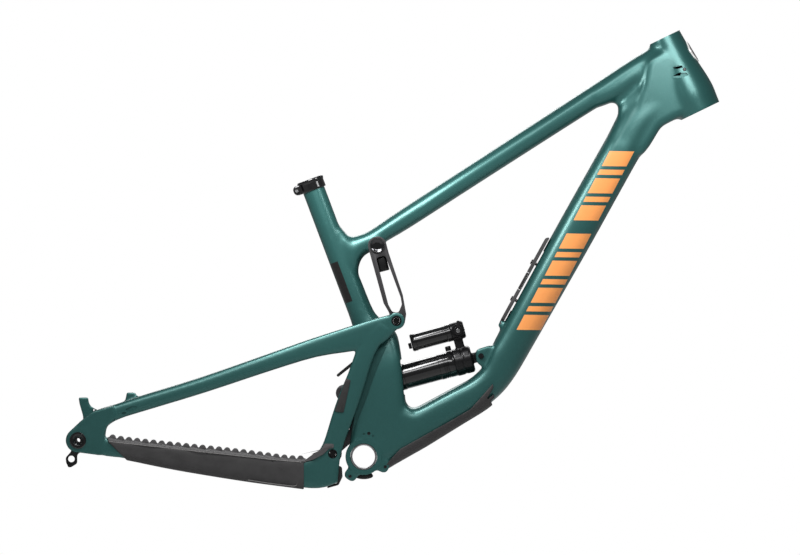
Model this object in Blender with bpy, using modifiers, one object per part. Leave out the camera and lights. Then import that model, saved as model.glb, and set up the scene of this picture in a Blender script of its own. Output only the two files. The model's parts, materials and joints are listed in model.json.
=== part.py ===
"""A full-suspension mountain bike frame with its shock, modelled for 27.5 inch wheels.

The frame stands in its riding attitude. The origin is the centre of the bottom bracket shell,
+X points forward, +Y to the rider's left and +Z up. Side-view points are (x, z) pairs in
millimetres; a length becomes metres only when it is written into a mesh.
"""

import math

import bmesh
import bpy
from mathutils import Matrix, Vector

MM = 0.001
GAP = 0.3

# Geometry of the main triangle
REACH = 464.0
STACK = 646.0
HEAD_ANGLE = 64.1
HEAD_TUBE_LENGTH = 126.0
HEAD_TOP_RADIUS = 25.0
HEAD_WAIST_RADIUS = 27.0
HEAD_BULGE_RADIUS = 34.0
HEAD_BOTTOM_RADIUS = 32.0
HEAD_UPPER_BORE = 22.0
HEAD_LOWER_BORE = 28.0
HEAD_CUP_DEPTH = 14.0
HEAD_INNER_BORE = 19.5
SEAT_ANGLE = 69.4
SEAT_TUBE_LENGTH = 455.0
SEAT_TUBE_OFFSET = 77.4
SEAT_TUBE_RADIUS = 17.65
SEATPOST_BORE = 15.8
SEATPOST_DEPTH = 215.0
SEAT_TUBE_FLOOR = 3.0
TOP_TUBE_DROP_AT_HEAD = 17.5
TOP_TUBE_DROP_AT_SEAT = 133.6
TOP_TUBE_HALF_DEPTH = 16.3
TOP_TUBE_HALF_WIDTH = 17.0
TOP_TUBE_HEAD_HALF_WIDTH = 22.0
DOWN_TUBE_HALF_DEPTH = 29.8
DOWN_TUBE_HALF_WIDTH = 33.0
DOWN_TUBE_WALL = 4.0

# Bottom bracket
SHELL_WIDTH = 73.0
SHELL_RADIUS = 28.0
INSERT_RADIUS = 20.3
THREAD_RADIUS = 17.4
GUIDE_CIRCLE_RADIUS = 36.7
GUIDE_TAB_ANGLES = (77.5, 235.0, 335.0)
GUIDE_TAB_RADIUS = 7.5
GUIDE_TAB_THICKNESS = 6.0
GUIDE_THREAD_RADIUS = 2.6

# Rear end
CHAINSTAY_RUN = 438.9
AXLE_RISE = 25.6
HUB_SPACING = 148.0
DROPOUT_THICKNESS = 10.5
DROPOUT_RADIUS = 18.8
AXLE_RADIUS = 6.0
AXLE_HEX_RADIUS = 3.2
POST_HALF_LENGTH = 6.2
POST_HALF_WIDTH = 6.0

# Suspension linkage: pivots in the side view
UPPER_FRAME_PIVOT = Vector((20.9, 324.6))
UPPER_SWING_PIVOT = Vector((50.5, 209.1))
LOWER_FRAME_PIVOT = Vector((-5.0, 42.0))
LOWER_SWING_PIVOT = Vector((-47.7, 4.6))
SHOCK_REAR_PIVOT = Vector((-30.0, 98.0))
SHOCK_LENGTH = 218.2
SHOCK_TILT = 15.12

# Lateral stack, from the middle of the frame outwards
TUNNEL_HALF_WIDTH = 28.0
LINK_HALF_WIDTH = 26.0
CLEVIS_INNER = 14.5
UPRIGHT_INNER = 38.0
UPRIGHT_THICKNESS = 10.5
UPPER_LINK_INNER = 28.0
UPPER_LINK_OUTER = 37.2
PIVOT_LUG_HALF_WIDTH = 17.0

# Pivot hardware
FRAME_AXLE_RADIUS = 7.0
BEARING_WIDTH = 7.0
BEARING_RACE = 5.0
SWING_BOLT_RADIUS = 5.1
REAR_AXLE_PIN_RADIUS = 5.0
SWING_PIVOT_PLAY = 3.1
SHOCK_BOLT_RADIUS = 4.0
SHOCK_EYE_PLAY = 4.1
UPPER_BOSS_RADIUS = 14.3
LOWER_BOSS_RADIUS = 13.4
EAR_RADIUS = 13.0

# Shock
CAN_RADIUS = 20.0
HEAD_RADIUS = 21.0
STANCHION_RADIUS = 12.0
SHOCK_EYE_HALF_WIDTH = 13.5
SHOCK_EYE_RADIUS = 13.0
SHOCK_FRONT_EYE_RADIUS = 9.8
SHOCK_EAR_THICKNESS = 8.0
TUNNEL_HALF_HEIGHT = 27.0
RESERVOIR_RADIUS = 13.5
RESERVOIR_LENGTH = 62.0
RESERVOIR_RISE = 47.0

# Covers
GUARD_THICKNESS = 5.2
STAY_GUARD_THICKNESS = 2.6
STAY_GUARD_RIBS = 23
STAY_GUARD_LOWER_RIBS = 8
DOOR_LENGTH = 158.0
DOOR_HALF_WIDTH = 18.0
DOOR_THICKNESS = 6.6
DOOR_START = 5.0
LATCH_LENGTH = 29.0
CAGE_BOLT_SPACING = 64.0
COLLAR_HEIGHT = 17.0
COLLAR_THICKNESS = 2.9
COLLAR_LOBE_RADIUS = 7.0

RING_POINTS = 16
STAY_RING_POINTS = 12
BORE_SIDES = 20
BEARING_SIDES = 16
ROUND_SIDES = 24


def direction(angle):
    """Unit vector in the side view, at an angle in degrees above +X."""
    return Vector((math.cos(math.radians(angle)), math.sin(math.radians(angle))))


def leftOf(vector):
    return Vector((-vector.y, vector.x))


def mix(start, end, share):
    return start + (end - start) * share


def frameAt(origin, along):
    """A function from (distance along, offset to the left) to a side-view point."""
    side = leftOf(along)
    return lambda distance, offset: origin + along * distance + side * offset


headDown = direction(-HEAD_ANGLE)
headTop = Vector((REACH, STACK))
headBottom = headTop + headDown * HEAD_TUBE_LENGTH
seatDown = direction(-SEAT_ANGLE)
seatTop = Vector((SEAT_TUBE_OFFSET, 0)) - seatDown * SEAT_TUBE_LENGTH
rearAxle = Vector((-CHAINSTAY_RUN, AXLE_RISE))
shockAlong = direction(SHOCK_TILT)
shockFront = SHOCK_REAR_PIVOT + shockAlong * SHOCK_LENGTH
halfShell = SHELL_WIDTH / 2
uprightOuter = UPRIGHT_INNER + UPRIGHT_THICKNESS
hubFace = HUB_SPACING / 2
dropoutOuter = hubFace + DROPOUT_THICKNESS


# Collections and materials

for old in list(bpy.data.objects):
    bpy.data.objects.remove(old)
frameCollection = bpy.data.collections.new("mountain_bike_frame")
toolCollection = bpy.data.collections.new("cutters")
toolCollection.hide_render = True
for collection in (frameCollection, toolCollection):
    bpy.context.scene.collection.children.link(collection)


def material(name, colour, roughness, metallic=0.0):
    made = bpy.data.materials.new(name)
    made.use_nodes = True
    shader = made.node_tree.nodes["Principled BSDF"]
    shader.inputs["Base Color"].default_value = (*colour, 1)
    shader.inputs["Roughness"].default_value = roughness
    shader.inputs["Metallic"].default_value = metallic
    made.diffuse_color = (*colour, 1)
    return made


greenCarbon = material("green_carbon", (0.05, 0.24, 0.22), 0.35, 0.4)
darkAlloy = material("dark_alloy", (0.08, 0.08, 0.085), 0.4, 0.9)
blackAlloy = material("black_alloy", (0.012, 0.012, 0.013), 0.25, 0.6)
brightSteel = material("bright_steel", (0.6, 0.6, 0.6), 0.25, 1.0)
greyRubber = material("grey_rubber", (0.045, 0.043, 0.045), 0.7)
blackRubber = material("black_rubber", (0.02, 0.02, 0.02), 0.65)
whitePlate = material("white_plate", (0.75, 0.75, 0.75), 0.3)
redAnodised = material("red_anodised", (0.5, 0.02, 0.02), 0.3, 0.8)


# Mesh building

def addObject(name, mesh, surface=None):
    made = bpy.data.objects.new(name, mesh)
    frameCollection.objects.link(made)
    if surface:
        mesh.materials.clear()
        mesh.materials.append(surface)
    return made


def meshFrom(name, shape):
    bmesh.ops.recalc_face_normals(shape, faces=shape.faces)
    mesh = bpy.data.meshes.new(name)
    shape.to_mesh(mesh)
    shape.free()
    mesh.shade_smooth()
    mesh.set_sharp_from_angle(angle=math.radians(35))
    return mesh


def lift(point, y):
    return Vector((point.x * MM, y * MM, point.y * MM))


def section(upper, lower, halfWidth, power, y=0.0, grow=0.0, points=RING_POINTS):
    """One ring of a tube: a rounded rectangle between two side-view edge points."""
    middle = (upper + lower) / 2
    reach = (upper - lower).length / 2 + grow
    upwards = (upper - lower).normalized()
    ring = []
    for step in range(points):
        angle = 2 * math.pi * step / points
        rise = math.copysign(abs(math.cos(angle)) ** (2 / power), math.cos(angle))
        side = math.copysign(abs(math.sin(angle)) ** (2 / power), math.sin(angle))
        ring.append(lift(middle + upwards * reach * rise, y + (halfWidth + grow) * side))
    return ring


def smoothStations(stations, steps):
    """Adds Catmull-Rom stations between the given ones: (upper, lower, half width, power, y)."""
    flat = [(*u, *l, w, p, y) for u, l, w, p, y in stations]
    made = []
    for index in range(len(flat) - 1):
        before = flat[max(index - 1, 0)]
        start, end = flat[index], flat[index + 1]
        after = flat[min(index + 2, len(flat) - 1)]
        for step in range(steps):
            t = step / steps
            made.append([
                0.5 * (2 * b + (c - a) * t + (2 * a - 5 * b + 4 * c - d) * t * t
                       + (3 * b - a - 3 * c + d) * t ** 3)
                for a, b, c, d in zip(before, start, end, after)
            ])
    made.append(flat[-1])
    return [(Vector(s[0:2]), Vector(s[2:4]), s[4], s[5], s[6]) for s in made]


def loft(name, rings, surface=None):
    """A closed skin through rings that have the same number of points."""
    shape = bmesh.new()
    rows = [[shape.verts.new(point) for point in ring] for ring in rings]
    for row, following in zip(rows, rows[1:]):
        for index in range(len(row)):
            beside = (index + 1) % len(row)
            shape.faces.new((row[index], row[beside], following[beside], following[index]))
    shape.faces.new(rows[0])
    shape.faces.new(rows[-1])
    return addObject(name, meshFrom(name, shape), surface)


def tube(name, stations, steps=2, grow=0.0, surface=None, points=RING_POINTS):
    rings = [section(*s, grow=grow, points=points) for s in smoothStations(stations, steps)]
    return loft(name, rings, surface)


def roundedOutline(corners, stepAngle=18):
    """Side-view points of a polygon whose corners are (x, z, radius), each turned into an arc."""
    points = []
    for index, (x, z, radius) in enumerate(corners):
        corner = Vector((x, z))
        previous = Vector(corners[index - 1][:2]) - corner
        following = Vector(corners[(index + 1) % len(corners)][:2]) - corner
        opening = previous.angle(following)
        if radius <= 0 or opening > math.radians(178):
            points.append(corner)
            continue
        limit = 0.48 * min(previous.length, following.length)
        cut = min(radius / math.tan(opening / 2), limit)
        radius = cut * math.tan(opening / 2)
        bisector = (previous.normalized() + following.normalized()).normalized()
        centre = corner + bisector * (radius / math.sin(opening / 2))
        first = corner + previous.normalized() * cut - centre
        last = corner + following.normalized() * cut - centre
        turn = first.angle_signed(last)
        count = max(2, round(abs(math.degrees(turn)) / stepAngle))
        for step in range(count + 1):
            points.append(centre + Matrix.Rotation(-turn * step / count, 2) @ first)
    return points


def circlePoints(centre, radius, start, end, count):
    return [centre + direction(start + (end - start) * k / count) * radius for k in range(count + 1)]


def asMesh(item, surface=None):
    """Replaces a curve or a modified object by the mesh it evaluates to, in world space."""
    bpy.context.view_layer.update()
    graph = bpy.context.evaluated_depsgraph_get()
    mesh = bpy.data.meshes.new_from_object(item.evaluated_get(graph))
    mesh.transform(item.matrix_world)
    shape = bmesh.new()
    shape.from_mesh(mesh)
    bpy.data.meshes.remove(mesh)
    bmesh.ops.remove_doubles(shape, verts=shape.verts, dist=1e-6)
    name = item.name
    bpy.data.objects.remove(item)
    return addObject(name, meshFrom(name, shape), surface)


def plate(name, outline, low, high, surface=None):
    """A flat piece in the side view, from y = low to y = high."""
    curve = bpy.data.curves.new(name, "CURVE")
    curve.dimensions = "2D"
    curve.fill_mode = "BOTH"
    curve.extrude = (high - low) / 2 * MM
    spline = curve.splines.new("POLY")
    spline.points.add(len(outline) - 1)
    for point, place in zip(spline.points, outline):
        point.co = (place.x * MM, place.y * MM, 0, 1)
    spline.use_cyclic_u = True
    item = bpy.data.objects.new(name, curve)
    frameCollection.objects.link(item)
    item.rotation_euler = (math.pi / 2, 0, 0)
    item.location = (0, (low + high) / 2 * MM, 0)
    return asMesh(item, surface)


def soften(item, width, segments=1):
    bevel = item.modifiers.new("rounded_edges", "BEVEL")
    bevel.width = width * MM
    bevel.segments = segments
    bevel.limit_method = "ANGLE"
    bevel.angle_limit = math.radians(50)
    return item


def turned(name, profile, place, axis, surface=None, sides=BORE_SIDES):
    """Turns (radius, distance) points about an axis. The last point joins the first."""
    mesh = bpy.data.meshes.new(name)
    vertices = [(radius * MM, 0, distance * MM) for radius, distance in profile]
    count = len(vertices)
    edges = [(index, (index + 1) % count) for index in range(count)]
    onAxis = [index for index in range(count) if profile[index][0] < 1e-9]
    edges = [pair for pair in edges if not (pair[0] in onAxis and pair[1] in onAxis)]
    mesh.from_pydata(vertices, edges, [])
    item = bpy.data.objects.new(name, mesh)
    frameCollection.objects.link(item)
    screw = item.modifiers.new("turn", "SCREW")
    screw.steps = sides
    screw.render_steps = sides
    screw.use_merge_vertices = True
    screw.merge_threshold = 1e-5
    item.rotation_mode = "QUATERNION"
    item.rotation_quaternion = axis.to_track_quat("Z", "Y")
    item.location = place
    return asMesh(item, surface)


ACROSS = Vector((0, 1, 0))


def rod(name, centre, radius, low, high, surface=None, sides=BORE_SIDES):
    """A round bar across the frame."""
    profile = [(0, low), (radius, low), (radius, high), (0, high)]
    return turned(name, profile, lift(centre, 0), ACROSS, surface, sides)


def washer(name, centre, outer, inner, low, high, surface=None, sides=BEARING_SIDES):
    profile = [(inner, low), (outer, low), (outer, high), (inner, high)]
    return turned(name, profile, lift(centre, 0), ACROSS, surface, sides)


def box(name, centre, size, tilt=0.0, surface=None):
    """A block centred at (x, y, z), turned up by tilt degrees in the side view."""
    shape = bmesh.new()
    bmesh.ops.create_cube(shape, size=1.0)
    turn = Matrix.Rotation(math.radians(-tilt), 4, "Y")
    scale = Matrix.Diagonal((*[side * MM for side in size], 1))
    shape.transform(Matrix.Translation(Vector(centre) * MM) @ turn @ scale)
    return addObject(name, meshFrom(name, shape), surface)


def asTool(item):
    frameCollection.objects.unlink(item)
    toolCollection.objects.link(item)
    item.hide_render = True
    item.display_type = "WIRE"


def boolean(target, operation, tools):
    for tool in tools:
        modifier = target.modifiers.new(operation.lower() + "_" + tool.name, "BOOLEAN")
        modifier.operation = operation
        # EXACT leaves open edges where a second cut crosses an already pierced flat face
        modifier.solver = "MANIFOLD"
        modifier.object = tool
        asTool(tool)
    return target


def join(target, *tools):
    return boolean(target, "UNION", tools)


def cut(target, *tools):
    return boolean(target, "DIFFERENCE", tools)


def span(side, inner, outer):
    """Low and high y of a stretch that lies between inner and outer on one side."""
    return (inner, outer) if side > 0 else (-outer, -inner)


# Front triangle

seatFoot = seatTop + seatDown * TOP_TUBE_DROP_AT_SEAT
headRoot = headTop + headDown * TOP_TUBE_DROP_AT_HEAD
topAlong = (headRoot - seatFoot).normalized()
topLength = (headRoot - seatFoot).length
topTube = frameAt(seatFoot, topAlong)
downStart = shockFront + Vector((53.7, 26.1))
downEnd = headBottom + Vector((-129.5, -73.7))
downAlong = (downEnd - downStart).normalized()
downLength = (downEnd - downStart).length
downTube = frameAt(downStart, downAlong)
seatTube = frameAt(seatTop, seatDown)


def downTubeStations():
    run = DOWN_TUBE_HALF_WIDTH
    depth = DOWN_TUBE_HALF_DEPTH
    head = [
        (Vector((-79, 50)), Vector((-12, 6)), run - 6, 2.4),
        (Vector((-112, 21)), Vector((-40, -14)), run - 4, 2.5),
        (Vector((-130, -11)), Vector((-64, -26)), run - 2.5, 2.6),
        (Vector((-143, -37)), Vector((-83, -53)), run - 1.5, 2.8),
    ]
    knee = [
        (Vector((15.4, 12.1)), Vector((53.4, -29.9)), run + 0.5, 3.2),
        (Vector((4.4, -13.9)), Vector((32.4, -56.9)), run + 0.5, 3.3),
        (Vector((-15.6, -33.9)), Vector((7.4, -77.9)), run + 1, 3.4),
    ]
    foot = [
        (Vector((86, 78.5)), Vector((98, 21)), halfShell - 0.5, 4.0),
        (Vector((74, 74.5)), Vector((75, 7.5)), halfShell - 0.3, 4.5),
        (Vector((64, 82)), Vector((52, -6)), halfShell - 0.3, 5.0),
        (Vector((45, 80)), Vector((32, -17)), halfShell - 0.3, 5.0),
        (Vector((22, 62)), Vector((12, -21)), halfShell - 0.3, 5.0),
    ]
    stations = [(headBottom + u, headBottom + l, w, p, 0.0) for u, l, w, p in head]
    for share, grow in ((1.0, -0.2), (0.6, 0.1), (0.3, -0.6), (0.0, -1.6)):
        distance = downLength * share
        stations.append((downTube(distance, depth + grow), downTube(distance, -depth - grow),
                         run, 3.0, 0.0))
    bent = [(shockFront + u, shockFront + l, w, p, 0.0) for u, l, w, p in knee]
    stations += bent
    upper, lower, wide, power, _ = bent[-1]
    for share in (0.36, 0.72):
        stations.append((mix(upper, foot[0][0], share), mix(lower, foot[0][1], share),
                         mix(wide, foot[0][2], share), mix(power, foot[0][3], share), 0.0))
    return stations + [(u, l, w, p, 0.0) for u, l, w, p in foot]


def topTubeStations():
    wide = TOP_TUBE_HALF_WIDTH
    headWide = TOP_TUBE_HEAD_HALF_WIDTH
    depth = TOP_TUBE_HALF_DEPTH

    def fromHead(back, rise, fall):
        return topTube(topLength - back, rise), topTube(topLength - back, fall)

    return [
        (seatTube(80, 4), seatTube(158, 4), 11, 2.4, 0.0),
        (seatTube(77, 15.5), seatTube(168, 15.5), wide - 0.5, 2.3, 0.0),
        (topTube(32, 25), topTube(17.5, -24), wide, 2.3, 0.0),
        (topTube(43, 19.5), topTube(31, -14), wide, 2.4, 0.0),
        (topTube(57, 15.9), topTube(45, -13), wide - 0.3, 2.4, 0.0),
        (topTube(76, 15.2), topTube(76, -13.2), wide - 0.5, 2.5, 0.0),
        (topTube(122, depth), topTube(122, 1.2 - depth), wide, 2.6, 0.0),
        (topTube(250, depth), topTube(250, 0.8 - depth), wide + 1, 2.7, 0.0),
        (*fromHead(158, depth + 0.2, -depth - 0.5), headWide - 2, 2.7, 0.0),
        (*fromHead(140, depth + 0.2, -depth - 2.5), headWide - 1, 2.7, 0.0),
        (*fromHead(108, depth + 0.4, -depth - 8), headWide, 2.6, 0.0),
        (*fromHead(60, depth + 0.6, -depth - 6), headWide, 2.5, 0.0),
        (*fromHead(12, depth - 1.5, -depth - 2), headWide - 2, 2.3, 0.0),
    ]


def gussetStations():
    """The web that fills the corner between top and down tube behind the head tube."""
    return [
        (headBottom + u, headBottom + l, w, p, 0.0) for u, l, w, p in (
            (Vector((-127.5, 3)), Vector((-127, -9)), 9, 2.2),
            (Vector((-124, 12)), Vector((-121, -18)), 16, 2.4),
            (Vector((-112, 32)), Vector((-102, -28)), 21, 2.5),
            (Vector((-88, 56)), Vector((-66, -14)), 24.5, 2.6),
            (Vector((-58, 78)), Vector((-26, 2)), 26, 2.6),
            (Vector((-38, 90)), Vector((-6, 14)), 22, 2.4),
        )
    ]


def seatTubeStations():
    thin = SEAT_TUBE_RADIUS
    return [(seatTube(distance, thin + front), seatTube(distance, -thin), thin + side, 2.0, 0.0)
            for distance, front, side in ((0, 0, 0), (60, 0, 0), (130, 0, 0), (175, 2.0, 0.4),
                                          (SEATPOST_DEPTH + SEAT_TUBE_FLOOR, 3.6, 1.6))]


def seatBoxStations():
    """Below the seat tube: a box that widens around the shock's tunnel."""
    thin = SEAT_TUBE_RADIUS
    wide = halfShell
    start = SEATPOST_DEPTH + SEAT_TUBE_FLOOR + GAP
    box = [
        (seatTube(start, thin + 3.6), seatTube(start, -thin), thin + 1.6, 2.0),
        (Vector((35, 206)), Vector((-14.5, 187)), thin + 5, 2.5),
        (Vector((50.5, 190)), Vector((-10.5, 168)), thin + 10.5, 3.2),
        (Vector((56, 168)), Vector((-9, 147)), wide - 3.5, 4.2),
        (Vector((59, 146)), Vector((-10, 124)), wide - 0.7, 5.5),
        (Vector((62, 115)), Vector((-13, 92)), wide - 0.1, 6.5),
        (Vector((64.5, 84)), Vector((-17, 60)), wide - 0.1, 7.0),
        (Vector((65, 60)), Vector((-21, 33)), wide - 0.1, 7.0),
        (Vector((58, 32)), Vector((-23, 12)), wide - 0.1, 7.0),
        (Vector((40, 4)), Vector((-18, -8)), wide - 0.1, 6.0),
    ]
    return [(u, l, w, p, 0.0) for u, l, w, p in box]


def headTube(name, surface=None, grow=0.0):
    """The head tube's outside. A grown one is longer too, and clears its seat in the front triangle."""
    ends = 10 * grow
    profile = [
        (HEAD_TOP_RADIUS + grow, -ends), (HEAD_TOP_RADIUS + 0.8 + grow, 14), (HEAD_WAIST_RADIUS + grow, 28),
        (30.2 + grow, 61), (HEAD_BULGE_RADIUS - 1 + grow, 82), (HEAD_BULGE_RADIUS + grow, 95),
        (HEAD_BOTTOM_RADIUS + 1 + grow, 112), (HEAD_BOTTOM_RADIUS + grow, HEAD_TUBE_LENGTH + ends),
        (0, HEAD_TUBE_LENGTH + ends), (0, -ends),
    ]
    return turned(name, profile, lift(headTop, 0), lift(headDown, 0).normalized(), surface, sides=ROUND_SIDES)


def headBore():
    end = HEAD_TUBE_LENGTH
    profile = [
        (0, -10), (HEAD_UPPER_BORE, -10), (HEAD_UPPER_BORE, HEAD_CUP_DEPTH),
        (HEAD_INNER_BORE, HEAD_CUP_DEPTH + 2), (HEAD_INNER_BORE + 4, end - HEAD_CUP_DEPTH - 2),
        (HEAD_LOWER_BORE, end - HEAD_CUP_DEPTH), (HEAD_LOWER_BORE, end + 10), (0, end + 10),
    ]
    return turned("head_bore", profile, lift(headTop, 0), lift(headDown, 0).normalized(), sides=ROUND_SIDES)


def doorFrame():
    """Side-view frame on the down tube's upper surface, from the door's hinge end upwards."""
    lowEnd = downTube(DOOR_START, DOWN_TUBE_HALF_DEPTH - 1.4)
    highEnd = downTube(DOOR_START + DOOR_LENGTH, DOWN_TUBE_HALF_DEPTH - 0.3)
    return frameAt(lowEnd, (highEnd - lowEnd).normalized())


onDoor = doorFrame()
doorTilt = math.degrees(math.atan2((onDoor(1, 0) - onDoor(0, 0)).y, (onDoor(1, 0) - onDoor(0, 0)).x))
doorPin = onDoor(5.0, 3.6)


def guideTab(angle, grow=0.0):
    outer = GUIDE_CIRCLE_RADIUS + GUIDE_TAB_RADIUS + grow
    spread = math.degrees(grow / GUIDE_CIRCLE_RADIUS)
    return roundedOutline([
        (*(direction(angle - 24 - 2 * spread) * (SHELL_RADIUS - 4)), 0),
        (*(direction(angle - 14 - spread) * outer), GUIDE_TAB_RADIUS + grow),
        (*(direction(angle + 14 + spread) * outer), GUIDE_TAB_RADIUS + grow),
        (*(direction(angle + 24 + 2 * spread) * (SHELL_RADIUS - 4)), 0),
    ])


def boxAlong(name, frame, distance, offset, length, height, y, width, tilt):
    centre = frame(distance, offset)
    return box(name, (centre.x, y, centre.y), (length, width, height), tilt)


def frontTriangle():
    frame = tube("front_triangle", downTubeStations(), steps=1, surface=greenCarbon)
    join(frame, tube("top_tube", topTubeStations(), steps=1), tube("gusset", gussetStations(), steps=1),
         tube("seat_box", seatBoxStations(), steps=1))
    cut(frame, headTube("head_socket", grow=GAP), tube("seat_socket", seatTubeStations(), steps=1, grow=GAP))

    # Ears that hold the shock's front bolt
    ears = []
    for name, side in (("left", 1), ("right", -1)):
        low, high = span(side, SHOCK_EYE_HALF_WIDTH + 1.2,
                         SHOCK_EYE_HALF_WIDTH + 1.2 + SHOCK_EAR_THICKNESS)
        outline = roundedOutline([
            (*(shockFront + Vector((-10, 9.5))), 9.0), (*(shockFront + Vector((14, 17))), 6),
            (*(shockFront + Vector((34, 10))), 2), (*(shockFront + Vector((24, -34))), 2),
            (*(shockFront + Vector((4, -19))), 3), (*(shockFront + Vector((-7, -10))), 8.0),
        ])
        ears.append(plate(f"shock_ear_{name}", outline, low, high))
    lug = rod("pivot_lug", UPPER_FRAME_PIVOT, UPPER_BOSS_RADIUS - 1.8,
              -PIVOT_LUG_HALF_WIDTH, PIVOT_LUG_HALF_WIDTH)
    join(frame, lug, *ears)

    # Tunnel for the shock, and the pocket that the lower link swings in
    tunnelMiddle = mix(SHOCK_REAR_PIVOT, shockFront, 0.32)
    tunnel = box("tunnel", (tunnelMiddle.x, 0, tunnelMiddle.y),
                 (170, 2 * TUNNEL_HALF_WIDTH, 2 * TUNNEL_HALF_HEIGHT), SHOCK_TILT)
    pivot = LOWER_FRAME_PIVOT
    clear = LOWER_BOSS_RADIUS + 3
    pocket = plate("link_pocket", roundedOutline([
        (*(pivot + Vector((clear, 2))), 6), (*(pivot + Vector((45, 56))), 0),
        (*(pivot + Vector((38, 92))), 0), (*(pivot + Vector((-70, 92))), 0),
        (*(pivot + Vector((-70, -60))), 0),
        *[(*point, 0) for point in circlePoints(Vector((0, 0)), SHELL_RADIUS - 2, 200, 84, 8)],
        (*(pivot + Vector((clear, -14))), 6),
    ]), -TUNNEL_HALF_WIDTH, TUNNEL_HALF_WIDTH)
    recess = rod("eye_recess", shockFront, SHOCK_FRONT_EYE_RADIUS + 2.0, -SHOCK_EYE_HALF_WIDTH - 1.2,
                 SHOCK_EYE_HALF_WIDTH + 1.2)
    cut(frame, tunnel, pocket, recess)
    for name, side in (("left", 1), ("right", -1)):
        low, high = span(side, TUNNEL_HALF_WIDTH + 3.2, UPRIGHT_INNER + 12)
        step = [Vector(p) for p in ((45, 190), (31, 160), (17, 126), (3.5, 87), (-12, 49), (-26, 13),
                                    (-70, 13), (-70, 190))]
        cut(frame, plate(f"cheek_step_{name}", step, low, high))

    # Seats for the bottom bracket shell and its tabs, bores and the storage space
    shellSeat = rod("shell_seat", Vector((0, 0)), SHELL_RADIUS + GAP, -halfShell - 5, halfShell + 5, sides=36)
    tabSeats = [plate(f"tab_seat_{angle:.0f}", guideTab(angle, GAP), -halfShell - 5,
                      -halfShell + 0.6 + GUIDE_TAB_THICKNESS + GAP) for angle in GUIDE_TAB_ANGLES]
    frameAxle = rod("lower_axle_bore", pivot, FRAME_AXLE_RADIUS + GAP, -halfShell + 3, halfShell + 5)
    upperAxle = rod("upper_axle_bore", UPPER_FRAME_PIVOT, FRAME_AXLE_RADIUS + GAP, -40, 40)
    shockBolt = rod("shock_bolt_bore", shockFront, SHOCK_BOLT_RADIUS + GAP, -40, 40, sides=20)
    cut(frame, shellSeat, *tabSeats, frameAxle, upperAxle, shockBolt)

    inner = []
    for share in (0.93, 0.5, 0.06):
        distance = downLength * share
        inner.append((downTube(distance, DOWN_TUBE_HALF_DEPTH), downTube(distance, -DOWN_TUBE_HALF_DEPTH),
                      DOWN_TUBE_HALF_WIDTH, 3.0, 0.0))
    store = tube("storage_space", inner, steps=1, grow=-DOWN_TUBE_WALL - 0.8)
    hatch = boxAlong("hatch", onDoor, DOOR_LENGTH * 0.52, -4, DOOR_LENGTH * 0.66, 30, 0,
                     2 * (DOOR_HALF_WIDTH - 5), doorTilt)
    hinge = boxAlong("hinge_slot", onDoor, 5.0, 4.5, 15, 16.0, 0, 21, doorTilt)
    cut(frame, store, hatch)
    lugs = plate("door_hinge_lug", roundedOutline([
        (*onDoor(-2, -4), 0), (*onDoor(-2, 6.4), 4), (*onDoor(9.5, 6.4), 4), (*onDoor(11, -4), 0),
    ]), -13.5, 13.5)
    join(frame, lugs)
    cut(frame, hinge, rod("door_pin_bore", doorPin, 1.5 + GAP, -20, 20, sides=12))

    for name, side in (("left", 1), ("right", -1)):
        cut(frame, plate(f"port_recess_{name}", portOutline(GAP), *span(side, portFloor, 45)))
    return frame


def headTubeWithPorts():
    head = headTube("head_tube", greenCarbon)
    cut(head, headBore())
    for name, side in (("left", 1), ("right", -1)):
        cut(head, plate(f"head_recess_{name}", portOutline(GAP), *span(side, portFloor, 45)))


def seatTubeWithBore():
    post = turned("post_bore", [(0, -10), (SEATPOST_BORE, -10), (SEATPOST_BORE, SEATPOST_DEPTH),
                                (0, SEATPOST_DEPTH)], lift(seatTop, 0), lift(seatDown, 0).normalized())
    cut(tube("seat_tube", seatTubeStations(), steps=1, surface=greenCarbon), post)


def bottomBracketShell():
    """The shell, with three tabs that a chain guide bolts to on the drive side."""
    shell = washer("bottom_bracket_shell", Vector((0, 0)), SHELL_RADIUS, INSERT_RADIUS + GAP, -halfShell,
                   halfShell, greenCarbon, sides=36)
    join(shell, *[plate(f"guide_tab_{angle:.0f}", guideTab(angle), -halfShell + 0.6,
                        -halfShell + 0.6 + GUIDE_TAB_THICKNESS) for angle in GUIDE_TAB_ANGLES])
    cut(shell, *[rod(f"guide_hole_{angle:.0f}", direction(angle) * GUIDE_CIRCLE_RADIUS, GUIDE_THREAD_RADIUS,
                     -halfShell - 5, -halfShell + GUIDE_TAB_THICKNESS + 5, sides=16)
                 for angle in GUIDE_TAB_ANGLES],
        rod("tab_axle_bore", LOWER_FRAME_PIVOT, FRAME_AXLE_RADIUS + GAP, -halfShell + 3, halfShell + 5))


portCentre = headTop + headDown * 57 - leftOf(headDown) * 2
portFloor = 25.5


def portOutline(grow=0.0):
    place = frameAt(portCentre, Vector((1, 0.12)).normalized())
    length, height = 15 + grow, 8.2 + grow
    return roundedOutline([
        (*place(-length, -height * 0.8), 5), (*place(length * 0.8, -height), 7),
        (*place(length, 0), 3), (*place(length * 0.7, height), 6), (*place(-length, height * 0.8), 5),
    ])


frontTriangle()
headTubeWithPorts()
seatTubeWithBore()
bottomBracketShell()


# Fittings on the front triangle

def bottomBracketInsert():
    shoulder = THREAD_RADIUS + 0.5
    half = halfShell - 0.4
    profile = [
        (THREAD_RADIUS, -half + 2), (shoulder, -half), (INSERT_RADIUS, -half), (INSERT_RADIUS, half),
        (shoulder, half), (THREAD_RADIUS, half - 2),
    ]
    return turned("bottom_bracket_insert", profile, Vector(), ACROSS, brightSteel, sides=ROUND_SIDES)


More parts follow.
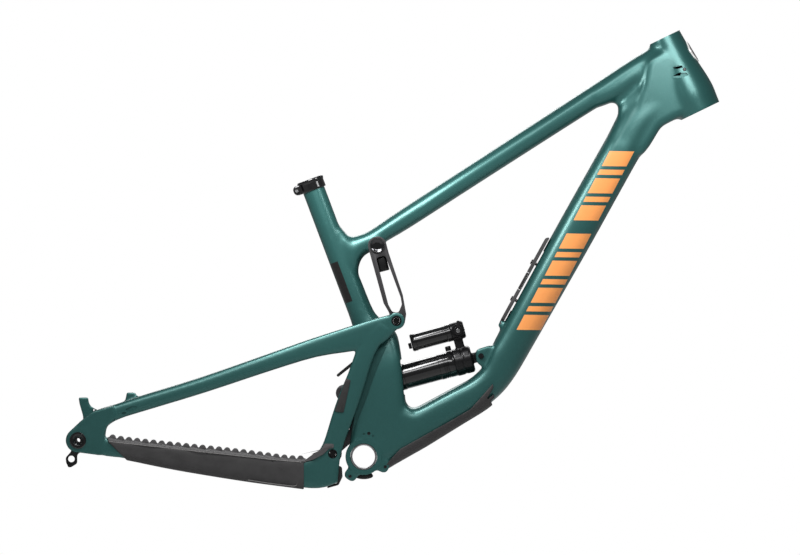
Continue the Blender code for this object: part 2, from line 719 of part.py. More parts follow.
def headRadiusAt(distance):
    knots = [(0, HEAD_TOP_RADIUS), (14, HEAD_TOP_RADIUS + 0.8), (28, HEAD_WAIST_RADIUS), (61, 30.2),
             (82, HEAD_BULGE_RADIUS - 1), (95, HEAD_BULGE_RADIUS)]
    for (low, first), (high, second) in zip(knots, knots[1:]):
        if distance <= high:
            return first + (second - first) * (distance - low) / (high - low)
    return HEAD_BULGE_RADIUS


def badge():
    """A curved plate on the front of the head tube."""
    rings = []
    forward = leftOf(headDown) if leftOf(headDown).x > 0 else -leftOf(headDown)
    for distance, half in ((21, 14), (23, 22), (30, 28), (40, 30), (50, 27), (56, 20), (58, 12)):
        ring = []
        radius = headRadiusAt(distance) + 0.45
        arc = [half * (2 * k / 10 - 1) for k in range(11)]
        for edge, angles in ((radius, arc), (radius + 1.5, arc[::-1])):
            for angle in angles:
                turn = math.radians(angle)
                place = headTop + headDown * distance + forward * (edge * math.cos(turn))
                ring.append(lift(place, edge * math.sin(turn)))
        rings.append(ring)
    return loft("head_badge", rings, whitePlate)


def seatCollar():
    collarTop = -1.6
    inside = SEAT_TUBE_RADIUS + GAP
    outside = inside + COLLAR_THICKNESS
    lip = SEATPOST_BORE + 0.6
    axis = lift(seatDown, 0).normalized()
    ring = turned("seat_collar", [
        (inside, -GAP), (lip, -GAP), (lip, collarTop), (outside - 0.8, collarTop), (outside, collarTop + 1.4),
        (outside, 3.4), (outside - 0.8, 4.0), (outside - 0.8, COLLAR_HEIGHT - 0.6), (inside, COLLAR_HEIGHT - 0.6),
    ], lift(seatTop, 0), axis, blackAlloy, sides=ROUND_SIDES)
    boltPlace = seatTube(COLLAR_HEIGHT * 0.5, -outside - 4.2)
    lobe = plate("collar_lobe", roundedOutline([
        (*seatTube(0.2, -inside + 2), 0), (*seatTube(COLLAR_HEIGHT - 1, -inside + 2), 0),
        (*seatTube(COLLAR_HEIGHT - 1.5, -outside - 9.5), COLLAR_LOBE_RADIUS),
        (*seatTube(0.6, -outside - 9.5), COLLAR_LOBE_RADIUS),
    ]), -11, 11)
    join(ring, lobe)
    slit = boxAlong("collar_slit", seatTube, COLLAR_HEIGHT / 2, -outside - 2, COLLAR_HEIGHT + 8, 26, 0, 2.2,
                    -SEAT_ANGLE)
    bore = turned("collar_bore", [(0, GAP * -1), (inside, GAP * -1), (inside, 30), (0, 30)],
                  lift(seatTop, 0), axis, sides=ROUND_SIDES)
    cut(ring, bore, slit, rod("collar_bolt_bore", boltPlace, 2.5 + GAP, -20, 20, sides=16))
    bolt = turned("seat_collar_bolt", [
        (0, -12.6), (2.5, -12.6), (2.5, 11.3), (4.4, 11.3), (4.4, 14.2), (3.6, 15.2), (2.0, 15.2),
        (2.0, 12.4), (0, 12.4),
    ], lift(boltPlace, 0), ACROSS, brightSteel, sides=14)
    nut = washer("seat_collar_nut", boltPlace, 4.4, 2.5 + GAP, -14.6, -11.3, blackAlloy, sides=18)
    return ring, bolt, nut


def cablePort(name, side):
    low, high = span(side, portFloor + GAP, 30.6)
    port = plate(name, portOutline(-GAP), low, high, blackRubber)
    screwPlace = portCentre + Vector((6.5, 2.2))
    bore = rod(f"{name}_bore", screwPlace, 2.1 + GAP, *span(side, portFloor + 2.2, 40), sides=16)
    cables = []
    for label, offset in (("upper", Vector((-8, 3.2))), ("lower", Vector((-6, -3.6)))):
        low, high = span(side, portFloor + 1.4, 40)
        centre = portCentre + offset
        cables.append(plate(f"{name}_{label}", roundedOutline([
            (*(centre + Vector((-5, -2.2))), 2), (*(centre + Vector((5, -2.2))), 2),
            (*(centre + Vector((5, 2.2))), 2), (*(centre + Vector((-5, 2.2))), 2),
        ], 30), low, high))
    cut(port, bore, *cables)
    low, high = span(side, portFloor + 2.5, 31.2)
    rod(name.replace("port", "port_screw"), screwPlace, 2.1, low, high, brightSteel, sides=14)


def shellGuard():
    """Rubber bumper under the bottom bracket shell."""
    inner = SHELL_RADIUS + GAP
    outline = (circlePoints(Vector((0, 0)), inner, 262, 296, 5)
               + [direction(296) * (inner + 5.5)]
               + circlePoints(Vector((0, 0)), inner + 6.4, 290, 250, 5)
               + [direction(248) * (inner + 2.2)])
    return plate("shell_guard", outline, -halfShell + 8, halfShell - 8, blackRubber)


def wrapSection(station, gap, thickness, reach):
    """Closed ring of a cover that wraps the lower half of a tube section."""
    upper, lower, halfWidth, power, y = station
    middle = (upper + lower) / 2
    half = (upper - lower).length / 2
    upwards = (upper - lower).normalized()
    count = 16
    ring = []
    for layer, order in ((gap, 1), (gap + thickness, -1)):
        row = []
        for step in range(count + 1):
            angle = math.pi + reach * (2 * step / count - 1)
            thin = layer if 0 < step < count or layer == gap else gap + thickness * 0.35
            rise = math.copysign(abs(math.cos(angle)) ** (2 / power), math.cos(angle)) * (half + thin)
            side = math.copysign(abs(math.sin(angle)) ** (2 / power), math.sin(angle)) * (halfWidth + thin)
            row.append(lift(middle + upwards * rise, y + side))
        ring += row[::order]
    return ring


def downTubeGuard():
    stations = downTubeStations()
    covered = [s for s in stations if s[1].x < shockFront.x + 12 and s[1].y < shockFront.y - 60
               and s[1].x > 45]
    rings = []
    for index, station in enumerate(covered):
        thickness = GUARD_THICKNESS * (0.75 if index in (0, len(covered) - 1) else 1)
        rings.append(wrapSection(station, GAP + 0.1, thickness, math.radians(74)))
    return loft("downtube_guard", rings, greyRubber)


def storageDoor():
    bulge = 1.1
    outline = roundedOutline([
        (*onDoor(7.5, bulge), 0), (*onDoor(DOOR_LENGTH, bulge), 2),
        (*onDoor(DOOR_LENGTH - 5, DOOR_THICKNESS), 4), (*onDoor(12, DOOR_THICKNESS), 4),
        (*onDoor(1.4, 5.8), 2), (*onDoor(2.2, 1.6), 2),
    ])
    door = plate("storage_door", outline, -DOOR_HALF_WIDTH, DOOR_HALF_WIDTH, greyRubber)
    middle = DOOR_LENGTH * 0.5
    notch = boxAlong("latch_notch", onDoor, middle, DOOR_THICKNESS, LATCH_LENGTH + 1.2, 8.4, 0,
                     2 * DOOR_HALF_WIDTH + 4, doorTilt)
    reliefs = [boxAlong(f"hinge_relief_{label}", onDoor, 5, 3.6, 14, 11, y, 13, doorTilt)
               for label, y in (("left", 15.5), ("right", -15.5))]
    bolts = []
    for label, shift in (("upper", CAGE_BOLT_SPACING / 2), ("lower", -CAGE_BOLT_SPACING / 2)):
        place = onDoor(middle + shift, 0)
        normal = onDoor(0, 1) - onDoor(0, 0)
        axis = lift(normal, 0).normalized()
        bolts.append(turned(f"cage_bore_{label}", [(0, -6), (2.8, -6), (2.8, 12), (0, 12)],
                            lift(place, 0), axis, sides=16))
        turned(f"cage_bolt_{label}", [
            (0, -1.5), (2.5, -1.5), (2.5, DOOR_THICKNESS + GAP), (4.4, DOOR_THICKNESS + GAP),
            (4.2, DOOR_THICKNESS + 1.6), (3.2, DOOR_THICKNESS + 2.3), (1.6, DOOR_THICKNESS + 2.3),
            (1.6, DOOR_THICKNESS + 0.6), (0, DOOR_THICKNESS + 0.6),
        ], lift(place, 0), axis, blackAlloy, sides=18)
    pinBore = rod("door_knuckle_bore", doorPin, 1.5 + GAP, -20, 20, sides=12)
    cut(door, notch, *reliefs, *bolts, pinBore)
    rod("door_hinge_pin", doorPin, 1.5, -13, 13, brightSteel, sides=12)
    latchFloor = DOOR_THICKNESS - 4.2 + GAP
    start = middle - LATCH_LENGTH / 2
    latch = plate("door_latch", roundedOutline([
        (*onDoor(start, latchFloor), 0.8), (*onDoor(start + LATCH_LENGTH, latchFloor), 0.8),
        (*onDoor(start + LATCH_LENGTH, DOOR_THICKNESS), 1.5), (*onDoor(start, DOOR_THICKNESS), 1.5),
    ]), -DOOR_HALF_WIDTH, DOOR_HALF_WIDTH, blackAlloy)
    return door, latch


def tunnelFender():
    """A rubber flap that keeps mud off the shock, at the tunnel's rear opening."""
    root = SHOCK_REAR_PIVOT + Vector((17.5, 49))
    tip = SHOCK_REAR_PIVOT + Vector((-11, 26))
    along = (tip - root).normalized()
    side = leftOf(along)
    outline = roundedOutline([
        (*(root - side * 2.5), 1), (*(root + side * 2.5), 1), (*(tip + side * 2.2), 2.1),
        (*(tip - side * 2.2), 2.1),
    ])
    return plate("tunnel_fender", outline, -TUNNEL_HALF_WIDTH + 6, TUNNEL_HALF_WIDTH - 6, blackRubber)


bottomBracketInsert()
badge()
seatCollar()
for portName, portSide in (("cable_port_left", 1), ("cable_port_right", -1)):
    cablePort(portName, portSide)
shellGuard()
downTubeGuard()
storageDoor()
tunnelFender()


# Linkage and swingarm

def frameAxles():
    pivot = LOWER_FRAME_PIVOT
    turned("lower_frame_axle", [
        (0, -halfShell + 3 + GAP), (FRAME_AXLE_RADIUS, -halfShell + 3 + GAP),
        (FRAME_AXLE_RADIUS, halfShell + 0.2), (3.0, halfShell + 0.2), (3.0, halfShell - 5),
        (0, halfShell - 5),
    ], lift(pivot, 0), ACROSS, brightSteel)
    pivot = UPPER_FRAME_PIVOT
    end = UPPER_LINK_OUTER - 0.5
    rod("upper_frame_axle", pivot, FRAME_AXLE_RADIUS, -end, end, brightSteel)
    for side, label in ((1, "left"), (-1, "right")):
        start = UPPER_LINK_OUTER + GAP
        profile = [(0, start), (10.8, start), (10.8, start + 2.2), (9.6, start + 3.4),
                   (5.0, start + 3.4), (5.0, start + 1.2), (0, start + 1.2)]
        turned(f"upper_axle_cap_{label}", profile, lift(pivot, 0), ACROSS * side, blackAlloy)
    turned("shock_front_bolt", [
        (0, -26.5), (SHOCK_BOLT_RADIUS, -26.5), (SHOCK_BOLT_RADIUS, 23.3), (6.5, 23.3), (6.5, 25.5),
        (5.5, 26.5), (2.5, 26.5), (2.5, 24), (0, 24),
    ], lift(shockFront, 0), ACROSS, blackAlloy, sides=20)


def lowerLink():
    frameEye, swingEye, shockEye = LOWER_FRAME_PIVOT, LOWER_SWING_PIVOT, SHOCK_REAR_PIVOT
    boss = LOWER_BOSS_RADIUS
    swingBore = REAR_AXLE_PIN_RADIUS + SWING_PIVOT_PLAY
    wide = LINK_HALF_WIDTH
    link = rod("lower_link", frameEye, boss, -wide, wide, darkAlloy)
    rear = rod("link_rear_boss", swingEye, swingBore + BEARING_RACE + 1.0, -wide + 0.2, wide - 0.2)
    toSwing = (swingEye - frameEye).normalized()
    arm = frameAt(frameEye, toSwing)
    length = (swingEye - frameEye).length
    web = plate("link_web", roundedOutline([
        (*arm(0, -boss + 2), 0), (*arm(length, -boss + 3), 0), (*arm(length, 6.0), 0), (*arm(0, 6.0), 0),
    ]), -wide + 0.5, wide - 0.5)
    toShock = (shockEye - frameEye).normalized()
    upright = frameAt(frameEye, toShock)
    reach = (shockEye - frameEye).length
    fork = plate("link_fork", roundedOutline([
        (*upright(4, 16), 6), (*upright(4, -10.5), 0), (*upright(reach - 8, -11), 0),
        (*upright(reach + 12.5, -11), 10.5), (*upright(reach + 12.5, 11), 10.5),
        (*upright(reach - 14, 12), 4),
    ]), -SHOCK_EYE_HALF_WIDTH - 11, SHOCK_EYE_HALF_WIDTH + 11)
    eyeRoom = rod("eye_room", shockEye, SHOCK_EYE_RADIUS + SHOCK_EYE_PLAY + 3,
                  -CLEVIS_INNER, CLEVIS_INNER)
    shaftRoom = frameAt(shockEye, shockAlong)
    slot = boxAlong("fork_slot", shaftRoom, 25, 0, 60, 2 * SHOCK_EYE_RADIUS + 18, 0, 2 * CLEVIS_INNER,
                    SHOCK_TILT)
    join(link, rear, web, fork)
    frameBore = rod("link_frame_bore", frameEye, FRAME_AXLE_RADIUS + GAP + 1, -wide - 5, wide + 5)
    rearBore = rod("link_rear_bore", swingEye, swingBore + 1, -wide - 5, wide + 5)
    shockBore = rod("link_shock_bore", shockEye, SHOCK_BOLT_RADIUS + GAP, -40, 40, sides=20)
    seats = []
    for side, label in ((1, "left"), (-1, "right")):
        low, high = span(side, wide - BEARING_WIDTH - GAP, wide + 6)
        seats.append(rod(f"frame_seat_{label}", frameEye,
                         FRAME_AXLE_RADIUS + GAP + BEARING_RACE - 0.6 + GAP, low, high))
        seats.append(rod(f"rear_seat_{label}", swingEye, swingBore + BEARING_RACE - 0.6 + GAP, low, high))
    cut(link, eyeRoom, slot, frameBore, rearBore, shockBore, *seats)
    for side, label in ((1, "left"), (-1, "right")):
        low, high = span(side, wide - BEARING_WIDTH, wide)
        washer(f"link_frame_bearing_{label}", frameEye, FRAME_AXLE_RADIUS + GAP + BEARING_RACE - 0.6,
               FRAME_AXLE_RADIUS + GAP, low, high, brightSteel)
        washer(f"link_rear_bearing_{label}", swingEye, swingBore + BEARING_RACE - 0.6, swingBore,
               low, high, brightSteel)
    end = SHOCK_EYE_HALF_WIDTH + 11
    rod("shock_rear_bolt", shockEye, SHOCK_BOLT_RADIUS, -end, end, blackAlloy, sides=20)


def upperLink():
    """Two slotted arms, joined by a bridge just under the frame pivot."""
    top, bottom = UPPER_FRAME_PIVOT, UPPER_SWING_PIVOT
    down = frameAt(top, (bottom - top).normalized())
    length = (bottom - top).length
    outline = roundedOutline([
        (*down(-UPPER_BOSS_RADIUS, -UPPER_BOSS_RADIUS), UPPER_BOSS_RADIUS),
        (*down(14, -UPPER_BOSS_RADIUS + 0.4), 30), (*down(88, -12.5), 10), (*down(104, -8), 10),
        (*down(length + 11, -9.5), 10), (*down(length + 11, 9.5), 10), (*down(length - 6, 17), 6),
        (*down(length - 36, 19.3), 14), (*down(14, UPPER_BOSS_RADIUS), 30),
        (*down(-UPPER_BOSS_RADIUS, UPPER_BOSS_RADIUS), UPPER_BOSS_RADIUS),
    ], 24)
    slot = roundedOutline([
        (*down(24, -6.3), 4), (*down(88, -5.2), 4), (*down(97, -1), 4), (*down(99, 5), 5),
        (*down(78, 14.2), 9), (*down(24, 8.3), 4),
    ], 45)
    left, right = [
        plate(f"upper_link_{label}", outline, *span(side, UPPER_LINK_INNER, UPPER_LINK_OUTER),
              darkAlloy) for side, label in ((1, "arm"), (-1, "arm_right"))
    ]
    link = left
    link.name = "upper_link"
    inner = PIVOT_LUG_HALF_WIDTH + 1.2
    bosses = [rod(f"boss_{label}", top, UPPER_BOSS_RADIUS - 0.4, *span(side, inner, UPPER_LINK_INNER + 4))
              for side, label in ((1, "left"), (-1, "right"))]
    bridge = boxAlong("bridge", down, 27, 1, 17, 13, 0, 2 * UPPER_LINK_INNER + 6,
                      math.degrees(math.atan2((bottom - top).y, (bottom - top).x)))
    slots = [plate(f"slot_{label}", slot, *span(side, UPPER_LINK_INNER - 2, UPPER_LINK_OUTER + 2))
             for side, label in ((1, "left"), (-1, "right"))]
    cut(link, slots[0])
    cut(right, slots[1])
    join(link, right, *bosses, bridge)
    bolt = SWING_BOLT_RADIUS + GAP
    holes = [rod("upper_bore", top, FRAME_AXLE_RADIUS + GAP + 0.8, -50, 50),
             rod("swing_bore", bottom, bolt + 0.8, -50, 50)]
    for side, label in ((1, "left"), (-1, "right")):
        low, high = span(side, UPPER_LINK_OUTER - BEARING_WIDTH - GAP, 50)
        holes.append(rod(f"upper_seat_{label}", top, FRAME_AXLE_RADIUS + 2 * GAP + 4.0, low, high))
        holes.append(rod(f"swing_seat_{label}", bottom, bolt + 3.6 + GAP, low, high))
        low, high = span(side, UPPER_LINK_OUTER - BEARING_WIDTH, UPPER_LINK_OUTER)
        washer(f"upper_link_bearing_{label}", top, FRAME_AXLE_RADIUS + GAP + 4.0,
               FRAME_AXLE_RADIUS + GAP, low, high, brightSteel)
        washer(f"swing_bearing_{label}", bottom, bolt + 3.6, bolt, low, high, brightSteel)
    cut(link, *holes)


def seatstayStations():
    near = UPRIGHT_INNER + UPRIGHT_THICKNESS / 2
    far = hubFace + DROPOUT_THICKNESS / 2
    half = UPRIGHT_THICKNESS / 2
    back = rearAxle
    return [
        (back + Vector((-2, 22)), back + Vector((14, -6)), half, 3.0, far),
        (back + Vector((22.5, 43.9)), back + Vector((45, 22)), half + 0.3, 3.0, far - 1),
        (back + Vector((58, 55.5)), back + Vector((66, 33.5)), half + 1.5, 2.8, far - 3.5),
        (back + Vector((93, 67.4)), back + Vector((100.5, 44.5)), half + 2.5, 2.6, far - 7.5),
        (back + Vector((187, 96.4)), back + Vector((194.5, 73)), half + 3.5, 2.6, mix(far, near, 0.52)),
        (Vector((-150, 157.5)), Vector((-142, 132.5)), half + 3, 2.8, mix(far, near, 0.82)),
        (Vector((-83, 181)), Vector((-72, 153.5)), half + 1.6, 3.0, near + 1.2),
        (Vector((-21, 201)), Vector((-12, 163)), half + 0.3, 3.4, near),
        (Vector((18, 213)), Vector((26, 172)), half - 0.5, 3.8, near),
        (Vector((42, 219)), Vector((52, 197)), half - 0.6, 4.0, near),
    ]


def chainstayStations():
    near = UPRIGHT_INNER + UPRIGHT_THICKNESS / 2
    far = hubFace + DROPOUT_THICKNESS / 2
    half = UPRIGHT_THICKNESS / 2
    back = rearAxle
    return [
        (back + Vector((8, 8)), back + Vector((0, -16)), half, 3.0, far),
        (back + Vector((46, 3)), back + Vector((44, -24.4)), half + 0.3, 3.0, far - 1.5),
        (back + Vector((75, -1.5)), back + Vector((74, -28)), half + 2.2, 3.0, far - 6),
        (back + Vector((148, -9.5)), back + Vector((147.5, -43)), half + 3.2, 3.0, mix(far, near, 0.45)),
        (Vector((-190.5, 5.5)), Vector((-192, -34.0)), half + 3.2, 3.2, mix(far, near, 0.78)),
        (Vector((-113.5, -4.5)), Vector((-115, -44.5)), half + 1.8, 3.6, near + 1.6),
        (Vector((-84, -3.5)), Vector((-80, -48.5)), half + 0.4, 4.0, near + 0.2),
        (Vector((-62, 3)), Vector((-58, -46.5)), half - 0.5, 4.0, near),
        (Vector((-45, 2)), Vector((-41, -39)), half - 0.7, 4.0, near),
    ]


def uprightStations():
    near = UPRIGHT_INNER + UPRIGHT_THICKNESS / 2
    half = UPRIGHT_THICKNESS / 2
    return [(front, rear, half, 4.0, near) for front, rear in (
        (Vector((-40, -40)), Vector((-74, -46))), (Vector((-38, -20)), Vector((-86, -24))),
        (Vector((-37, -8)), Vector((-80, -3))), (Vector((-34, 6)), Vector((-67, 12))),
        (Vector((-29, 24)), Vector((-59, 30))), (Vector((-19.6, 49)), Vector((-50, 60))),
        (Vector((-5.7, 87)), Vector((-37, 98))), (Vector((3.5, 116)), Vector((-25, 126))),
        (Vector((12.8, 146)), Vector((-14, 157))), (Vector((24, 170)), Vector((-4, 182))),
        (Vector((44, 193)), Vector((22, 207))),
    )]


def swingarmHalf(side):
    """Stays, upright and dropout of one side."""
    def onSide(stations):
        return [(u, l, w, p, y * side) for u, l, w, p, y in stations]

    label = "left" if side > 0 else "right"
    stays = tube(f"swingarm_{label}", onSide(seatstayStations()), 1, surface=greenCarbon,
                 points=STAY_RING_POINTS)
    chainstay = tube(f"chainstay_{label}", onSide(chainstayStations()), 1, points=STAY_RING_POINTS)
    upright = tube(f"upright_{label}", onSide(uprightStations()), 1, points=STAY_RING_POINTS)
    outer = span(side, UPRIGHT_INNER - 0.3, uprightOuter + 0.3)
    ear = rod(f"ear_{label}", UPPER_SWING_PIVOT, EAR_RADIUS, *outer)
    knuckle = rod(f"knuckle_{label}", LOWER_SWING_PIVOT, 9.5, *outer)
    boss = rod(f"lower_boss_{label}", LOWER_SWING_PIVOT, REAR_AXLE_PIN_RADIUS + 5,
               *span(side, LINK_HALF_WIDTH + 1.2, UPRIGHT_INNER + 5))
    back = rearAxle
    ends = span(side, hubFace, dropoutOuter)
    hub = rod(f"dropout_{label}", back, DROPOUT_RADIUS, *ends, sides=36)
    fan = plate(f"dropout_plate_{label}", roundedOutline([
        (*(back + Vector((-14, 12.5))), 0), (*(back + Vector((4, 29.5))), 4),
        (*(back + Vector((22.5, 43.9))), 8), (*(back + Vector((54, 53))), 0),
        (*(back + Vector((58, 36))), 0), (*(back + Vector((42, 19))), 14), (*(back + Vector((40, 5))), 3),
        (*(back + Vector((41, -22))), 0), (*(back + Vector((33, -23))), 8),
        (*(back + Vector((-6, -17.8))), 0),
    ]), *span(side, hubFace + 0.4, dropoutOuter - 0.4))
    return join(stays, chainstay, upright, ear, knuckle, boss, hub, fan)


def swingarm():
    left, right = swingarmHalf(1), swingarmHalf(-1)
    left.name = "swingarm"
    right.name = "right_half"
    upperBridge = box("stay_bridge", (-78, 0, 167.5), (22, 2 * UPRIGHT_INNER + 8, 13), 18)
    soften(upperBridge, 4, 2)
    yoke = plate("yoke", roundedOutline([
        (-84, -12, 6), (-60, -12, 2), (-46, -14, 6), (-40, -40, 6), (-56, -45.5, 6), (-84, -47.5, 8),
    ]), -UPRIGHT_INNER - 4, UPRIGHT_INNER + 4)
    tabs = []
    back = rearAxle
    for name, foot, head in (("rear", Vector((7, 36)), Vector((5.4, 64.9))),
                             ("front", Vector((82, 62)), Vector((79.4, 72.6)))):
        place = back + head
        tabs.append(plate(f"brake_post_{name}", roundedOutline([
            (*(place + Vector((-POST_HALF_LENGTH, 0))), 0), (*(place + Vector((POST_HALF_LENGTH, 0))), 0),
            (*(place + Vector((POST_HALF_LENGTH + 2, -9))), 8), (*(back + foot + Vector((14, -2))), 0),
            (*(back + foot + Vector((-7, -14))), 0), (*(place + Vector((-POST_HALF_LENGTH + 1, -9))), 8),
        ]), hubFace - 4, hubFace - 4 + 2 * POST_HALF_WIDTH))
    join(left, right, upperBridge, yoke, *tabs)

    # Pivot, axle and hanger bores
    pin = rod("lower_pin_bore", LOWER_SWING_PIVOT, REAR_AXLE_PIN_RADIUS + GAP, -60, 60)
    bolts = rod("upper_bolt_bore", UPPER_SWING_PIVOT, SWING_BOLT_RADIUS + GAP, -60, 60)
    axle = rod("axle_bore", rearAxle, AXLE_RADIUS + GAP, -100, 100)
    sleeve = rod("hanger_bolt_bore", rearAxle, 8.5 + GAP, -100, -60)
    headSeat = rod("axle_head_seat", rearAxle, 9.0 + GAP, dropoutOuter - 3.2, 100)
    hangerSeat = rod("hanger_seat", rearAxle, 14 + GAP, -hubFace - 5.6, -60)
    hangerWay = plate("hanger_way", hangerOutline(2 * GAP), -hubFace - 5.6, -60)
    posts = [rodAlongZ(f"post_hole_{n}", rearAxle + head, 2.6, hubFace - 4 + POST_HALF_WIDTH)
             for n, head in (("rear", Vector((5.4, 64.9))), ("front", Vector((79.4, 72.6))))]
    cut(left, pin, bolts, axle, sleeve, headSeat, hangerSeat, hangerWay, *posts)
    return left


hangerEye = rearAxle + Vector((-10.1, -28.6))


def hangerOutline(grow=0.0):
    """The derailleur hanger's arm, from the axle down to its tail."""
    wide = 10.5 + grow
    return roundedOutline([
        (*(rearAxle + Vector((-wide, 0))), 0), (*(rearAxle + Vector((-wide, -17))), 6),
        (*(hangerEye + Vector((-9.0 - grow, 2))), 6), (*(hangerEye + Vector((-8 - grow, -6))), 5),
        (*(hangerEye + Vector((-4.5, -13 - grow))), 2), (*(hangerEye + Vector((0, -12.5 - grow))), 2),
        (*(hangerEye + Vector((9 + grow, -7))), 5), (*(hangerEye + Vector((9 + grow, 8))), 6),
        (*(rearAxle + Vector((wide, -16.5))), 6), (*(rearAxle + Vector((wide, 0))), 0),
    ])


def rodAlongZ(name, top, radius, y):
    return turned(name, [(0, -11), (radius, -11), (radius, 4), (0, 4)], lift(top, y), Vector((0, 0, 1)),
                  sides=16)


def stayGuard():
    """Rubber cover on the drive-side chainstay, with ribs that quieten the chain."""
    stations = [s for s in chainstayStations() if rearAxle.x + 40 < s[0].x < -100]
    rings = []
    for upper, lower, half, power, y in stations:
        inner = section(upper, lower, half, power, -y, GAP + 0.1, STAY_RING_POINTS)
        outer = section(upper, lower, half, power, -y, GAP + 0.1 + STAY_GUARD_THICKNESS, STAY_RING_POINTS)
        covered = [-k for k in range(-1, STAY_RING_POINTS // 2 + 2)]
        rings.append([inner[k] for k in covered] + [outer[k] for k in reversed(covered)])
    guard = loft("chainstay_guard", rings, greyRubber)
    first, last = stations[0], stations[-1]

    def ribAt(name, share, edge, radius, height):
        """A rounded rib across the guard, on the stay's upper (0) or lower (1) edge."""
        x = mix(first[edge].x, last[edge].x, share)
        index = max(i for i, s in enumerate(stations[:-1]) if s[edge].x <= x)
        before, after = stations[index], stations[index + 1]
        t = (x - before[edge].x) / (after[edge].x - before[edge].x)
        along = (after[edge] - before[edge]).normalized()
        outward = leftOf(along) if edge == 0 else -leftOf(along)
        foot = mix(before[edge], after[edge], t) + outward * (GAP + 0.1 + STAY_GUARD_THICKNESS * 0.55)
        outline = [foot + along * (radius * math.cos(turn)) + outward * (height * math.sin(turn))
                   for turn in (math.pi * k / 4 for k in range(5))]
        y = mix(before[4], after[4], t)
        return plate(name, outline, -y - 5.0, -y + 1.0)

    ribs = [ribAt(f"rib_{k}", 0.035 + 0.93 * k / (STAY_GUARD_RIBS - 1), 0, 4.6, 5.0)
            for k in range(STAY_GUARD_RIBS)]
    ribs += [ribAt(f"lower_rib_{k}", 0.70 + 0.27 * k / (STAY_GUARD_LOWER_RIBS - 1), 1, 4.8, 4.2)
             for k in range(STAY_GUARD_LOWER_RIBS)]
    join(guard, *ribs)
    return guard


def swingarmFittings():
    for side, label in ((1, "left"), (-1, "right")):
        end = uprightOuter - 4.5
        profile = [(0, UPPER_LINK_INNER + 1), (SWING_BOLT_RADIUS, UPPER_LINK_INNER + 1),
                   (SWING_BOLT_RADIUS, end), (2.5, end), (2.5, end - 4), (0, end - 4)]
        turned(f"swing_bolt_{label}", profile, lift(UPPER_SWING_PIVOT, 0), ACROSS * side, blackAlloy)
    end = uprightOuter - 4.5
    profile = [(0, -end + 4), (2.5, -end + 4), (2.5, -end), (REAR_AXLE_PIN_RADIUS, -end),
               (REAR_AXLE_PIN_RADIUS, end), (2.5, end), (2.5, end - 4), (0, end - 4)]
    turned("lower_swing_axle", profile, lift(LOWER_SWING_PIVOT, 0), ACROSS, blackAlloy)
    plate("yoke_guard", roundedOutline([
        (-45.4, -12, 2), (-33.5, -16, 4), (-32.6, -31, 3), (-38.5, -43.5, 4), (-56, -48.4, 2),
        (-56, -46, 0), (-39.6, -40.4, 4),
    ]), -UPRIGHT_INNER + 3, UPRIGHT_INNER - 3, blackRubber)
    turned("rear_axle", [
        (AXLE_HEX_RADIUS, -dropoutOuter + 1), (AXLE_RADIUS, -dropoutOuter + 1),
        (AXLE_RADIUS, dropoutOuter - 3.2 + GAP), (9.0, dropoutOuter - 3.2 + GAP), (9.0, dropoutOuter + 0.6),
        (8.0, dropoutOuter + 1.6), (AXLE_HEX_RADIUS, dropoutOuter + 1.6),
    ], lift(rearAxle, 0), ACROSS, blackAlloy)
    hanger = rod("derailleur_hanger", rearAxle, 14.0 - GAP, -hubFace - 5.3, -hubFace - 0.3, blackAlloy)
    arm = plate("hanger_arm", hangerOutline(), -hubFace - 5.0, -hubFace - 0.6)
    join(hanger, arm)
    cut(hanger, rod("hanger_axle_bore", rearAxle, 8.5 + GAP, -100, -60),
        rod("hanger_eye_bore", hangerEye, 5.0, -100, -60, sides=24))
    start = dropoutOuter + GAP
    turned("hanger_bolt", [
        (AXLE_RADIUS + GAP, hubFace + 1), (8.5, hubFace + 1), (8.5, start), (12.6, start),
        (12.6, start + 1.4), (11.4, start + 2.4), (AXLE_RADIUS + 1.4, start + 2.4),
        (AXLE_RADIUS + GAP, start + 1.2),
    ], lift(rearAxle, 0), -ACROSS, blackAlloy)


frameAxles()
lowerLink()
upperLink()
swingarm()
stayGuard()
swingarmFittings()


# Shock

onShock = frameAt(shockFront, -shockAlong)
shockAxis = lift(-shockAlong, 0).normalized()
eyeFace = SHOCK_LENGTH - SHOCK_EYE_RADIUS - 10
reboundPlace = onShock(eyeFace + 5, -STANCHION_RADIUS - 2.5)


def shockTurned(name, profile, surface, sides=24):
    return turned(name, profile, lift(shockFront, 0), shockAxis, surface, sides)


